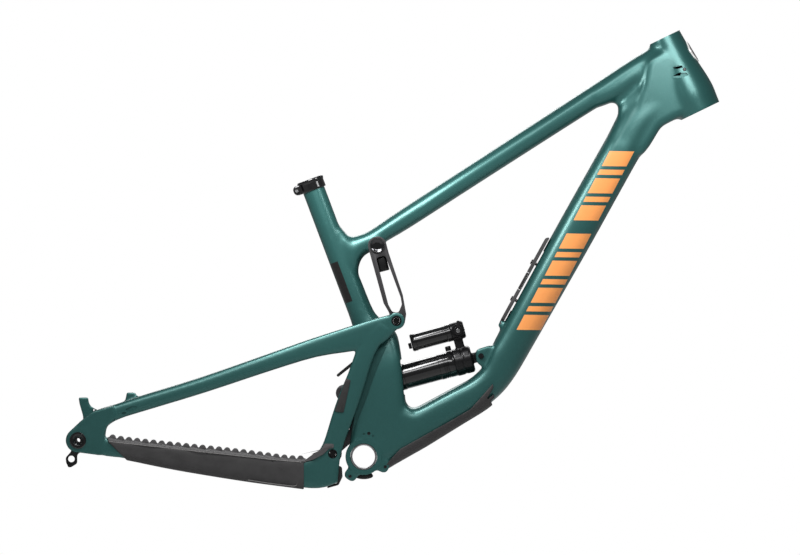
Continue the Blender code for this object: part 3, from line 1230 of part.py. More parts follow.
def shockBody():
    canEnd = 138.0
    inside = STANCHION_RADIUS + GAP
    shockTurned("shock_air_can", [
        (inside, canEnd), (inside + 1.5, canEnd + 1), (CAN_RADIUS - 4, canEnd + 1),
        (CAN_RADIUS - 1.5, canEnd - 2), (CAN_RADIUS, canEnd - 6), (CAN_RADIUS, 66), (CAN_RADIUS - 0.8, 65),
        (CAN_RADIUS - 0.8, 63), (CAN_RADIUS, 62), (CAN_RADIUS, 44), (16, 43), (inside, 43),
    ], blackAlloy)
    head = shockTurned("shock_head", [
        (0, 13.5), (HEAD_RADIUS - 3, 13.5), (HEAD_RADIUS, 16), (HEAD_RADIUS, 41), (HEAD_RADIUS - 1.5, 42.6),
        (0, 42.6),
    ], blackAlloy)
    eye = rod("front_eye", shockFront, SHOCK_FRONT_EYE_RADIUS, -SHOCK_EYE_HALF_WIDTH, SHOCK_EYE_HALF_WIDTH, sides=24)
    stem = boxAlong("front_stem", onShock, 9, 0, 14, 16, 0, 2 * SHOCK_EYE_HALF_WIDTH - 2, SHOCK_TILT)
    neck = boxAlong("reservoir_neck", onShock, 27.5, -RESERVOIR_RISE * 0.52, 14, 26, 0, 17, SHOCK_TILT)
    bridge = turnedReservoir("reservoir_bridge", [
        (0, -8), (RESERVOIR_RADIUS - 1, -8), (RESERVOIR_RADIUS + 0.3, -6.5), (RESERVOIR_RADIUS + 0.3, 13.1),
        (0, 13.1),
    ])
    join(head, eye, stem, neck, bridge)
    cut(head, rod("front_eye_bore", shockFront, 6.8 + GAP, -40, 40))
    washer("shock_front_bushing", shockFront, 6.8, SHOCK_BOLT_RADIUS + GAP, -SHOCK_EYE_HALF_WIDTH - 0.6,
           SHOCK_EYE_HALF_WIDTH + 0.6, brightSteel)
    turnedReservoir("shock_reservoir", [
        (0, 13.4), (RESERVOIR_RADIUS, 13.4), (RESERVOIR_RADIUS, 13.4 + RESERVOIR_LENGTH),
        (RESERVOIR_RADIUS - 1.2, 14.6 + RESERVOIR_LENGTH), (0, 14.6 + RESERVOIR_LENGTH),
    ], blackAlloy)
    end = 14.9 + RESERVOIR_LENGTH
    valve = onShock(22 + end, -RESERVOIR_RISE + 3.5)
    turned("reservoir_valve_cap", [(0, 0), (4.6, 0), (4.6, 3.6), (3.6, 4.8), (0, 4.8)], lift(valve, 0),
           shockAxis, blackAlloy, sides=16)
    return head


def turnedReservoir(name, profile, surface=None, sides=BORE_SIDES):
    return turned(name, profile, lift(onShock(22, -RESERVOIR_RISE), 0), shockAxis, surface, sides)


def shockControls():
    """Compression dial and lever on the reservoir's head, facing the drive side."""
    middle = onShock(24, -RESERVOIR_RISE)
    reach = RESERVOIR_RADIUS + 0.3 + GAP
    turned("compression_dial", [
        (3.0, reach), (10.5, reach), (10.5, reach + 3.4), (9.4, reach + 4.6), (4.4, reach + 4.6), (3.0, reach + 4.0),
    ], lift(middle, 0), -ACROSS, blackAlloy, sides=24)
    lever = turned("compression_lever", [
        (0, reach), (2.7, reach), (2.7, reach + 4.9), (7.0, reach + 4.9), (7.0, reach + 7.4), (0, reach + 7.4),
    ], lift(middle, 0), -ACROSS, blackAlloy, sides=20)
    tab = plate("lever_tab", roundedOutline([
        (*(middle + Vector((-3.4, 0))), 0), (*(middle + Vector((3.4, 0))), 0),
        (*(middle + Vector((2.4, 15.5))), 2.2), (*(middle + Vector((-2.4, 15.5))), 2.2),
    ]), -reach - 7.4, -reach - 4.9)
    join(lever, tab)
    valve = onShock(46, -CAN_RADIUS + 1)
    axis = lift(leftOf(shockAlong), 0).normalized()
    turned("air_valve_cap", [(0, 1.5), (4.4, 1.5), (4.4, 7.5), (3.4, 9.0), (0, 9.0)], lift(valve, 0),
           axis, blackAlloy, sides=16)


def shockShaft():
    tip = 128.0 - 6
    shockTurned("shock_stanchion", [
        (0, tip), (STANCHION_RADIUS - 1, tip), (STANCHION_RADIUS, tip + 1), (STANCHION_RADIUS, eyeFace),
        (0, eyeFace),
    ], brightSteel)
    eyeBore = SHOCK_BOLT_RADIUS + SHOCK_EYE_PLAY
    eye = rod("shock_rear_eye", SHOCK_REAR_PIVOT, SHOCK_EYE_RADIUS, -SHOCK_EYE_HALF_WIDTH,
              SHOCK_EYE_HALF_WIDTH, blackAlloy)
    cap = shockTurned("eye_cap", [
        (0, eyeFace + GAP), (STANCHION_RADIUS + 2.5, eyeFace + GAP),
        (STANCHION_RADIUS + 2.5, eyeFace + 7), (STANCHION_RADIUS - 2, eyeFace + 12), (0, eyeFace + 12),
    ], None)
    join(eye, cap)
    cut(eye, rod("rear_eye_bore", SHOCK_REAR_PIVOT, eyeBore, -40, 40))
    axis = lift(leftOf(shockAlong), 0).normalized()
    turned("rebound_knob", [(0, GAP), (4.2, GAP), (4.6, 1.2), (4.6, 3.2), (3.8, 4.2), (0, 4.2)],
           lift(reboundPlace, 0), axis, redAnodised, sides=16)
    shockTurned("travel_ring", [
        (STANCHION_RADIUS + GAP, 141), (STANCHION_RADIUS + 2.2, 141), (STANCHION_RADIUS + 2.2, 143.4),
        (STANCHION_RADIUS + GAP, 143.4),
    ], blackRubber, 24)


shockBody()
shockControls()
shockShaft()


# Moving pieces hang from an empty on their joint's axis

def hang(name, place, children, holder=None, y=0.0):
    """An empty at a joint, holding the pieces that move with it, on the empty it moves with."""
    joint = bpy.data.objects.new(name, None)
    joint.empty_display_size = 20 * MM
    joint.matrix_world = Matrix.Translation(lift(place, y) * MM)
    frameCollection.objects.link(joint)
    bpy.context.view_layer.update()
    for child in [bpy.data.objects[label] for label in children]:
        child.parent = joint
        child.matrix_parent_inverse = joint.matrix_world.inverted()
    if holder:
        joint.parent = holder
        joint.matrix_parent_inverse = holder.matrix_world.inverted()
    return joint


def bothSides(name):
    return [f"{name}_left", f"{name}_right"]


rocker = hang("upper_link_pivot", UPPER_FRAME_PIVOT,
               ["upper_link", *bothSides("upper_link_bearing"), *bothSides("swing_bearing")])
hang("swingarm_pivot", UPPER_SWING_PIVOT,
      ["swingarm", "chainstay_guard", *bothSides("swing_bolt"), "lower_swing_axle", "yoke_guard",
       "rear_axle", "derailleur_hanger", "hanger_bolt"], rocker)
hang("lower_link_pivot", LOWER_FRAME_PIVOT,
      ["lower_link", *bothSides("link_frame_bearing"), *bothSides("link_rear_bearing"),
       "shock_rear_bolt"])
damper = hang("shock_front_pivot", shockFront,
               ["shock_head", "shock_air_can", "shock_reservoir", "reservoir_valve_cap",
                "air_valve_cap", "shock_front_bushing", "travel_ring"])
shaft = hang("shock_slide", SHOCK_REAR_PIVOT, ["shock_stanchion", "shock_rear_eye"], damper)
hang("rebound_turn", reboundPlace, ["rebound_knob"], shaft)
for jointName, piece in (("compression_turn", "compression_dial"), ("lever_turn", "compression_lever")):
    hang(jointName, onShock(24, -RESERVOIR_RISE), [piece], damper, -RESERVOIR_RADIUS)
hatch = hang("hatch_hinge", doorPin, ["storage_door", "cage_bolt_upper", "cage_bolt_lower"])
hang("latch_turn", onDoor(DOOR_LENGTH / 2 - LATCH_LENGTH / 2, DOOR_THICKNESS), ["door_latch"], hatch)
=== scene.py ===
import json
import math
import bmesh
import bpy
from mathutils import Matrix, Vector


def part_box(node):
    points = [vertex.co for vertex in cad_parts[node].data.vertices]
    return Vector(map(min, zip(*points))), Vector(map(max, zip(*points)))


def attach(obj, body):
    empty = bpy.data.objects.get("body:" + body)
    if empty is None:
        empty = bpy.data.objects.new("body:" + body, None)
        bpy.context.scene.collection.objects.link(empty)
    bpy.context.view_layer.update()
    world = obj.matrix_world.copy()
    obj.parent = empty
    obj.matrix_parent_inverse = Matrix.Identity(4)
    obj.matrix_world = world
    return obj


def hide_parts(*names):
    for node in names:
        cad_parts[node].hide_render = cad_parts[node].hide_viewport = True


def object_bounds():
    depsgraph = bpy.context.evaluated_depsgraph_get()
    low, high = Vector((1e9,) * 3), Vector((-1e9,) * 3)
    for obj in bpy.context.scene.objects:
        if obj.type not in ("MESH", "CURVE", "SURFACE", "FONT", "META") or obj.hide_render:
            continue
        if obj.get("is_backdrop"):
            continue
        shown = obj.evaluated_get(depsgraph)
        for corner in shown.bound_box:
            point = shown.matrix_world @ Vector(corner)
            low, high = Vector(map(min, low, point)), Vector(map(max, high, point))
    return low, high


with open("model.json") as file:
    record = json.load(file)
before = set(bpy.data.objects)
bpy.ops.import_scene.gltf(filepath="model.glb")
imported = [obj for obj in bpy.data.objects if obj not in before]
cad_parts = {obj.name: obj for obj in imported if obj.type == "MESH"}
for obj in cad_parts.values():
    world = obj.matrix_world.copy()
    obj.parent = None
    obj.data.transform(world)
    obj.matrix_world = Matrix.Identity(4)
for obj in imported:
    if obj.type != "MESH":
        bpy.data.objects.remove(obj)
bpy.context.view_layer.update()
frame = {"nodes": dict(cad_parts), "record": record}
joints = {joint["name"]: joint for joint in frame["record"]["behaviour"]["joints"]}
mm = 0.001
across = Vector((0, 1, 0))
print("frame loaded")


# side-view geometry: points are (x, z) in millimetres, y runs to the rider's left

def aim(angle):
    return Vector((math.cos(math.radians(angle)), math.sin(math.radians(angle))))


def leftOf(vector):
    return Vector((-vector.y, vector.x))


def mix(start, end, share):
    return start + (end - start) * share


def track(origin, along):  # (distance along, offset to the left) to a side-view point
    return lambda distance, offset: origin + along * distance + leftOf(along) * offset


def lift(point, y=0.0):
    return Vector((point.x, y, point.y)) * mm


def jointAt(name):
    spot = joints[name]["pos_m"]
    return Vector((spot[0] / mm, spot[2] / mm))


def span(side, inner, outer):
    return (inner, outer) if side > 0 else (-outer, -inner)


sides = (("left", 1), ("right", -1))
angles = {"head": 64.1, "seat": 69.4, "shock": 15.12}
lengths = {"head": 126, "seat": 455, "shock": 218.2, "reach": 464, "stack": 646, "seatOffset": 77.4}
headDown, seatDown, shockAlong = aim(-angles["head"]), aim(-angles["seat"]), aim(angles["shock"])
headTop = Vector((lengths["reach"], lengths["stack"]))
headBottom = headTop + headDown * lengths["head"]
seatTop = Vector((lengths["seatOffset"], 0)) - seatDown * lengths["seat"]
rearAxle = Vector((-438.9, 25.6))
upperPivot, swingPivot = jointAt("upper_link_pivot"), jointAt("swingarm_pivot")
lowerPivot, shockFront = jointAt("lower_link_pivot"), jointAt("shock_front_pivot")
shockRear = shockFront - shockAlong * lengths["shock"]
chainPivot = Vector((-47.7, 4.6))
seatTube, onShock = track(seatTop, seatDown), track(shockFront, -shockAlong)
seatFoot, headRoot = seatTube(133.6, 0), headTop + headDown * 17.5
topTube = track(seatFoot, (headRoot - seatFoot).normalized())
topLength = (headRoot - seatFoot).length
downStart, downEnd = shockFront + Vector((53.7, 26.1)), headBottom + Vector((-129.5, -73.7))
downTube = track(downStart, (downEnd - downStart).normalized())
downLength = (downEnd - downStart).length
halfShell, uprightInner, uprightOuter, hubFace, dropoutOuter = 36.5, 38.0, 48.5, 74.0, 84.5


# shader writing

class Wire:  # a socket that can be used in Python arithmetic
    def __init__(self, finish, socket):
        self.finish, self.socket = finish, socket

    def math(self, operation, *others, clamp=False):
        return self.finish.node("ShaderNodeMath", {"operation": operation, "use_clamp": clamp},
                                dict(enumerate((self, *others))))

    def __add__(self, other): return self.math("ADD", other)
    def __sub__(self, other): return self.math("SUBTRACT", other)
    def __mul__(self, other): return self.math("MULTIPLY", other)
    def __truediv__(self, other): return self.math("DIVIDE", other)
    def __rsub__(self, other): return self.finish.number(other).math("SUBTRACT", self)
    __radd__, __rmul__ = __add__, __mul__
    def least(self, other): return self.math("MINIMUM", other)
    def most(self, other): return self.math("MAXIMUM", other)
    def above(self, edge, soft): return ((self - edge) / soft).math("ADD", 0.5, clamp=True)
    def below(self, edge, soft): return ((self - edge) / -soft).math("ADD", 0.5, clamp=True)


class Finish:  # one procedural material
    def __init__(self, name, **fixed):
        self.material = bpy.data.materials.new(name)
        self.material.use_nodes = True
        self.tree = self.material.node_tree
        self.shader = self.tree.nodes["Principled BSDF"]
        for socket, value in fixed.items():
            self.shader.inputs[socket.replace("_", " ")].default_value = value
        self.place = self.node("ShaderNodeTexCoord", {}, {}, "Object")
        colour = fixed.get("Base_Color")
        if colour:
            self.material.diffuse_color = colour

    def node(self, kind, settings, inputs, output=0):
        made = self.tree.nodes.new(kind)
        for name, value in settings.items():
            setattr(made, name, value)
        for name, value in inputs.items():
            if isinstance(value, Wire):
                self.tree.links.new(value.socket, made.inputs[name])
            else:
                made.inputs[name].default_value = value
        return Wire(self, made.outputs[output])

    def number(self, value):
        return self.node("ShaderNodeMath", {"operation": "ADD"}, {0: float(value), 1: 0.0})

    def noise(self, size, detail=3.0, rough=0.55):  # size in metres
        return self.node("ShaderNodeTexNoise", {},
                         {"Vector": self.place, "Scale": 1 / size, "Detail": detail, "Roughness": rough},
                         "Fac")

    def cells(self, size):
        return self.node("ShaderNodeTexVoronoi", {"feature": "F1"},
                         {"Vector": self.place, "Scale": 1 / size},
                         "Distance")

    def blend(self, share, first, second):
        return self.node("ShaderNodeMix", {"data_type": "RGBA"}, {0: share, 6: first, 7: second}, 2)

    def axis(self, name):
        return self.node("ShaderNodeSeparateXYZ", {}, {"Vector": self.place}, name)

    def bump(self, height, distance, strength=1.0):
        return self.node("ShaderNodeBump", {},
                         {"Height": height, "Distance": distance, "Strength": strength}, "Normal")

    def feed(self, **wires):
        for socket, wire in wires.items():
            self.tree.links.new(wire.socket, self.shader.inputs[socket.replace("_", " ")])
        return self


def bandMask(x, z, corners, soft=0.0004):
    # 1 inside a convex side-view polygon whose corners (in mm) run clockwise
    inside = None
    for start, end in zip(corners, corners[1:] + corners[:1]):
        along = (Vector(end) - Vector(start)).normalized()
        gap = x * along.y - z * along.x - (start[0] * along.y - start[1] * along.x) * mm
        inside = gap if inside is None else inside.least(gap)
    return (inside / soft).math("ADD", 0.5, clamp=True)


paint = {"deep": (0.018, 0.085, 0.080, 1), "lit": (0.036, 0.150, 0.140, 1),
         "graphic": (0.95, 0.36, 0.10, 1)}


def lacquer(name, graphics=False):
    # Satin metallic lacquer: flake, slow colour drift, faint orange peel and handling marks
    made = Finish(name, Metallic=0.5, Roughness=0.36, Coat_Weight=0.3, Coat_Roughness=0.25,
                  Base_Color=paint["lit"])
    drift, flake = made.noise(0.16, 2.0), made.cells(0.0011)
    colour = made.blend((drift * 0.7 + flake * 0.35).math("ADD", 0.0, clamp=True), paint["deep"],
                        paint["lit"])
    metal = made.number(0.5)
    scuff = made.noise(0.012, 5.0, rough=0.7).above(0.66, 0.12)
    if graphics:
        x, y, z = made.axis("X"), made.axis("Y"), made.axis("Z")
        drive = y.below(-0.006, 0.002).most(y.above(0.006, 0.002))
        orange = None
        for corners in graphicShapes():
            shape = bandMask(x, z, corners)
            orange = shape if orange is None else orange.most(shape)
        black = None
        for corners in blockShapes:
            shape = bandMask(x, z, corners)
            black = shape if black is None else black.most(shape)
        orange = orange * drive
        colour = made.blend(orange, colour, paint["graphic"])
        colour = made.blend(black, colour, (0.004, 0.004, 0.004, 1))
        metal = metal * (1 - orange.most(black))
    rough = 0.33 + 0.06 * made.noise(0.05, 2.0) + 0.07 * scuff
    bump = made.bump(made.noise(0.0035, 2.0) + 0.10 * flake, 0.00002)
    return made.feed(Base_Color=colour, Metallic=metal, Roughness=rough, Normal=bump).material


def graphicShapes():
    # A plain row of slanted bars, wide and narrow in turn, along the down tube's side
    row = track(downTube(22, -10.5), (downTube(345, -1) - downTube(22, -10.5)).normalized())
    half, lean = graphicRow["halfHeight"], graphicRow["lean"]
    return [[tuple(row(start + lean, -half)), tuple(row(start - lean, half)),
             tuple(row(start + width - lean, half)), tuple(row(start + width + lean, -half))]
            for start, width in graphicRow["bars"]]


graphicRow = {
    "halfHeight": 17.0, "lean": 8.5,
    "bars": [(0, 26), (32, 9), (47, 26), (79, 9), (94, 26), (126, 9), (141, 26), (190, 26), (222, 9),
             (237, 26),
             (269, 9), (284, 26)],
}
blockShapes = [  # one plain bar along the back of the seat tube
    [(-51.4, 296.6), (-40.2, 300.8), (-17.2, 239.6), (-28.4, 235.4)],
]


def metalFinish(name, colour, roughness, metallic=1.0, grain=0.0008, depth=0.00001, coat=0.0):
    made = Finish(name, Metallic=metallic, Roughness=roughness, Base_Color=(*colour, 1), Coat_Weight=coat,
                  Coat_Roughness=0.08)
    tone = made.noise(0.03, 3.0)
    darker = tuple(0.72 * part for part in colour)
    fine = made.noise(grain, 2.0)
    wear = made.noise(0.006, 4.0, rough=0.7).above(0.68, 0.1)
    return made.feed(Base_Color=made.blend(tone, (*darker, 1), (*colour, 1)),
                     Roughness=roughness * (0.85 + 0.3 * fine + 0.35 * wear),
                     Normal=made.bump(fine, depth)).material


def rubberFinish(name, colour, roughness=0.62, grain=0.0011, depth=0.00005):
    made = Finish(name, Roughness=roughness, Base_Color=(*colour, 1))
    dust = made.noise(0.02, 4.0, rough=0.65)
    lighter = tuple(min(1.0, 1.45 * part + 0.006) for part in colour)
    pores = made.cells(grain)
    return made.feed(Base_Color=made.blend(dust.above(0.55, 0.5), (*colour, 1), (*lighter, 1)),
                     Roughness=roughness - 0.1 + 0.2 * dust,
                     Normal=made.bump(pores + 0.6 * made.noise(0.0005, 2.0), depth)).material


greenFrame, greenSwing = lacquer("teal_lacquer_graphics", True), lacquer("teal_lacquer")
forgedAlloy = metalFinish("forged_grey_alloy", (0.085, 0.083, 0.087), 0.42, 0.85, 0.0007, 0.00003)
glossBlack = metalFinish("gloss_black_anodised", (0.010, 0.010, 0.011), 0.2, 0.5, 0.0012, 0.00001, coat=0.9)
satinBlack = metalFinish("satin_black_alloy", (0.012, 0.012, 0.013), 0.34, 0.6, 0.0009, 0.00002, coat=0.2)
polishedBlack = metalFinish("polished_black_cap", (0.11, 0.11, 0.115), 0.13, 1.0, 0.002, 0.000005)
turnedSteel = metalFinish("turned_steel", (0.62, 0.63, 0.64), 0.24, 1.0, 0.0006, 0.00001)
redAnodised = metalFinish("red_anodised_alloy", (0.42, 0.012, 0.012), 0.28, 0.9, 0.0007, 0.00001)
guardRubber = rubberFinish("dark_guard_rubber", (0.028, 0.027, 0.028))
bandRubber = rubberFinish("grey_guard_band", (0.060, 0.058, 0.060), 0.55)
# pale rubber for the cover's edge beads: its light grey is a painted highlight line, not the rubber's own
# colour
highlightBeadRubber = rubberFinish("painted_highlight_guard_edge", (0.16, 0.155, 0.155), 0.5)
blackRubber = rubberFinish("black_rubber", (0.010, 0.010, 0.010), 0.6)
redRubber = rubberFinish("red_travel_band", (0.25, 0.012, 0.010), 0.5)
platePaint = metalFinish("white_plate_enamel", (0.80, 0.79, 0.78), 0.3, 0.0, 0.001, 0.00001, coat=0.5)
print("finishes made")


# mesh tools

def finishMesh(mesh, finish, sharp=32):
    mesh.materials.clear()
    mesh.materials.append(finish)
    mesh.shade_smooth()
    mesh.set_sharp_from_angle(angle=math.radians(sharp))


def asPiece(name, shape, finish, body, nodes=(), sharp=32):
    mesh = shape
    if isinstance(shape, bmesh.types.BMesh):
        mesh = bpy.data.meshes.new(name)
        shape.to_mesh(mesh)
        shape.free()
    mesh.name = name
    finishMesh(mesh, finish, sharp)
    piece = bpy.data.objects.new(name, mesh)
    bpy.context.scene.collection.objects.link(piece)
    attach(piece, body)
    if nodes:
        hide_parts(*nodes)
    return piece


def holder(shape, name="work"):
    mesh = bpy.data.meshes.new(name)
    shape.to_mesh(mesh)
    shape.free()
    made = bpy.data.objects.new(name, mesh)
    bpy.context.scene.collection.objects.link(made)
    return made


def applied(item):
    # The mesh that an object's modifiers give; the object itself goes
    graph = bpy.context.evaluated_depsgraph_get()
    mesh = bpy.data.meshes.new_from_object(item.evaluated_get(graph))
    bpy.data.objects.remove(item)
    return mesh


def joined(shapes):
    whole = bmesh.new()
    for shape in shapes:
        mesh = bpy.data.meshes.new("part")
        shape.to_mesh(mesh)
        shape.free()
        whole.from_mesh(mesh)
        bpy.data.meshes.remove(mesh)
    return whole


def fused(shapes, voxel, smoothing):
    # Overlapping solids become one skin with soft fillets where they meet
    item = holder(joined(shapes))
    remesh = item.modifiers.new("fuse", "REMESH")
    remesh.mode, remesh.voxel_size = "VOXEL", voxel * mm
    smooth = item.modifiers.new("soften", "SMOOTH")
    smooth.factor, smooth.iterations = 0.5, smoothing
    return applied(item)


def filleted(shapes, voxel, fillet, smoothing):
    # As fused, but every inside corner is first filled by swelling the skin and shrinking it back
    item = holder(joined(shapes))
    for step, (kind, amount) in enumerate((("REMESH", voxel), ("SMOOTH", 4), ("DISPLACE", fillet),
                                           ("REMESH", voxel),
                                           ("SMOOTH", 6), ("DISPLACE", -fillet), ("REMESH", voxel),
                                           ("SMOOTH", smoothing))):
        stage = item.modifiers.new(f"stage_{step}", kind)
        if kind == "REMESH":
            stage.mode, stage.voxel_size = "VOXEL", amount * mm
        elif kind == "SMOOTH":
            stage.factor, stage.iterations = 0.5, amount
        else:
            stage.strength, stage.mid_level = amount * mm, 0
    return applied(item)


def carved(mesh, cutters, operation="DIFFERENCE"):
    item = bpy.data.objects.new("work", mesh)
    bpy.context.scene.collection.objects.link(item)
    tools = []
    for cutter in cutters:
        tool = holder(cutter, "tool")
        modifier = item.modifiers.new("carve", "BOOLEAN")
        modifier.operation, modifier.solver, modifier.object = operation, "MANIFOLD", tool
        tools.append(tool)
    result = applied(item)
    for tool in tools:
        bpy.data.objects.remove(tool)
    return result


def asShape(mesh):
    shape = bmesh.new()
    shape.from_mesh(mesh)
    bpy.data.meshes.remove(mesh)
    return shape


def meshOf(shape):
    mesh = bpy.data.meshes.new("part")
    shape.to_mesh(mesh)
    shape.free()
    return mesh


def smoothStations(stations, steps):
    # Adds Catmull-Rom stations between the given ones
    flat = [(*u, *l, w, p, y) for u, l, w, p, y in stations]
    made = []
    for index in range(len(flat) - 1):
        before, start, end = flat[max(index - 1, 0)], flat[index], flat[index + 1]
        after = flat[min(index + 2, len(flat) - 1)]
        for step in range(steps):
            t = step / steps
            made.append([0.5 * (2 * b + (c - a) * t + (2 * a - 5 * b + 4 * c - d) * t * t
                                + (3 * b - a - 3 * c + d) * t ** 3)
                         for a, b, c, d in zip(before, start, end, after)])
    made.append(flat[-1])
    return [(Vector(s[0:2]), Vector(s[2:4]), s[4], s[5], s[6]) for s in made]


def tube(stations, steps=3, points=32, grow=0.0):
    # Rounded-box rings (upper edge, lower edge, half width, squareness, y), bridged one to the next
    shape = bmesh.new()
    rows = []
    for upper, lower, wide, power, y in smoothStations(stations, steps):
        ring = bmesh.ops.create_circle(shape, segments=points, radius=1)["verts"]
        middle, reach = (upper + lower) / 2, (upper - lower).length / 2 + grow
        upwards = (upper - lower).normalized()
        for vertex in ring:
            rise, side = [math.copysign(abs(part) ** (2 / power), part) for part in vertex.co[:2]]
            vertex.co = lift(middle + upwards * reach * rise, y + (wide + grow) * side)
        rows.append(list({edge for vertex in ring for edge in vertex.link_edges}))
    for row, following in zip(rows, rows[1:]):
        bmesh.ops.bridge_loops(shape, edges=row + following)
    for row in (rows[0], rows[-1]):
        bmesh.ops.contextual_create(shape, geom=row)
    bmesh.ops.recalc_face_normals(shape, faces=shape.faces)
    return shape


def turned(profile, origin, axis=across, steps=64):
    # Spins (radius, distance) points about an axis; a ring if no point lies on the axis
    axis = axis.normalized()
    out = axis.cross(Vector((0, 0, 1)) if abs(axis.z) < 0.9 else Vector((1, 0, 0))).normalized()
    shape = bmesh.new()
    points = [shape.verts.new(origin + (out * radius + axis * distance) * mm)
              for radius, distance in profile]
    loop = points + points[:1]
    edges = [shape.edges.new(pair) for pair, (a, b) in
             zip(zip(loop, loop[1:]), zip(profile, profile[1:] + profile[:1])) if a[0] or b[0]]
    bmesh.ops.spin(shape, geom=points + edges, cent=origin, axis=axis, angle=math.tau, steps=steps,
                   use_merge=True)
    bmesh.ops.remove_doubles(shape, verts=shape.verts, dist=1e-6)
    bmesh.ops.recalc_face_normals(shape, faces=shape.faces)
    return shape


def bar(centre, radius, low, high, steps=48):
    return turned([(0, low), (radius, low), (radius, high), (0, high)], lift(centre), across, steps)


def ring(centre, outer, inner, low, high, steps=64, edge=0.4):
    return turned([(inner, low + edge), (inner + edge, low), (outer - edge, low), (outer, low + edge),
                   (outer, high - edge), (outer - edge, high), (inner + edge, high), (inner, high - edge)],
                  lift(centre), across, steps)


def rounded(corners, stepAngle=12):
    # Side-view polygon whose corners (x, z, radius) are turned into arcs
    points = []
    for index, (x, z, radius) in enumerate(corners):
        corner = Vector((x, z))
        previous = Vector(corners[index - 1][:2]) - corner
        following = Vector(corners[(index + 1) % len(corners)][:2]) - corner
        opening = previous.angle(following)
        if radius <= 0 or opening > math.radians(178):
            points.append(corner)
            continue
        cut = min(radius / math.tan(opening / 2), 0.48 * min(previous.length, following.length))
        radius = cut * math.tan(opening / 2)
        centre = corner + (previous.normalized() + following.normalized()).normalized() * (
            radius / math.sin(opening / 2))
        first = corner + previous.normalized() * cut - centre
        last = corner + following.normalized() * cut - centre
        turn = first.angle_signed(last)
        count = max(2, round(abs(math.degrees(turn)) / stepAngle))
        points += [centre + Matrix.Rotation(-turn * step / count, 2) @ first for step in range(count + 1)]
    return points


def slab(outline, low, high, bevel=0.0, segments=3):
    # A flat side-view shape from y = low to y = high
    shape = bmesh.new()
    corners = [shape.verts.new(lift(point, low)) for point in outline]
    face = bmesh.ops.contextual_create(shape, geom=corners)["faces"][0]
    moved = bmesh.ops.extrude_face_region(shape, geom=[face])["geom"]
    bmesh.ops.translate(shape, vec=(0, (high - low) * mm, 0),
                        verts=[item for item in moved if isinstance(item, bmesh.types.BMVert)])
    bmesh.ops.recalc_face_normals(shape, faces=shape.faces)
    if bevel:
        rims = [edge for edge in shape.edges if abs(edge.verts[0].co.y - edge.verts[1].co.y) < 1e-6]
        bmesh.ops.bevel(shape, geom=rims, offset=bevel * mm, offset_type="OFFSET", segments=segments,
                        profile=0.5, affect="EDGES", material=-1, clamp_overlap=True)
    return shape


def block(centre, y, size, tilt=0.0, bevel=0.0, segments=3):
    # A box centred at a side-view point, turned up by tilt degrees
    shape = bmesh.new()
    bmesh.ops.create_cube(shape, size=1.0)
    bmesh.ops.transform(shape, verts=shape.verts, matrix=Matrix.Translation(lift(centre, y))
                        @ Matrix.Rotation(math.radians(-tilt), 4, "Y")
                        @ Matrix.Diagonal((*[part * mm for part in size], 1)))
    if bevel:
        bmesh.ops.bevel(shape, geom=shape.edges[:], offset=bevel * mm, offset_type="OFFSET",
                        segments=segments,
                        profile=0.5, affect="EDGES", material=-1, clamp_overlap=True)
    return shape


def circle(centre, radius, start, end, count):
    return [centre + aim(start + (end - start) * step / count) * radius for step in range(count + 1)]


def outlineOf(points):
    return [Vector(point) for point in points]


# front triangle

frameShape = {"downHalf": 29.8, "downWide": 32.0, "topHalf": 16.3, "topWide": 17.0, "headWide": 22.0,
              "seatRadius": 17.65, "voxel": 1.7, "fillet": 6.0, "smoothing": 22}


def downTubeStations():
    run, depth = frameShape["downWide"], frameShape["downHalf"]
    stations = [(headBottom + Vector(u), headBottom + Vector(l), w, p, 0.0) for u, l, w, p in (
        ((-79, 50), (-12, 6), run - 6, 2.3), ((-112, 21), (-40, -14), run - 4, 2.3),
        ((-130, -11), (-64, -26), run - 2.5, 2.3), ((-143, -37), (-83, -53), run - 1.5, 2.4))]
    for share, grow in ((1.0, -0.2), (0.6, 0.1), (0.3, -0.6), (0.0, -1.6)):
        along = downLength * share
        stations.append((downTube(along, depth + grow), downTube(along, -depth - grow), run, 2.5, 0.0))
    knee = [(shockFront + Vector(u), shockFront + Vector(l), w, p, 0.0) for u, l, w, p in (
        ((15.4, 12.1), (53.4, -29.9), run + 0.5, 3.2), ((4.4, -13.9), (32.4, -56.9), run + 0.5, 3.3),
        ((-15.6, -33.9), (7.4, -77.9), run + 1, 3.4))]
    foot = [(Vector(u), Vector(l), w, p, 0.0) for u, l, w, p in (
        ((86, 78.5), (98, 21), halfShell - 0.5, 4.0), ((74, 74.5), (75, 7.5), halfShell - 0.3, 4.5),
        ((64, 82), (52, -6), halfShell - 0.3, 5.0), ((45, 80), (32, -17), halfShell - 0.3, 5.0),
        ((22, 62), (12, -21), halfShell - 0.3, 5.0))]
    upper, lower, wide, power, _ = knee[-1]
    between = [(mix(upper, foot[0][0], share), mix(lower, foot[0][1], share), mix(wide, foot[0][2], share),
                mix(power, foot[0][3], share), 0.0) for share in (0.36, 0.72)]
    return stations + knee + between + foot


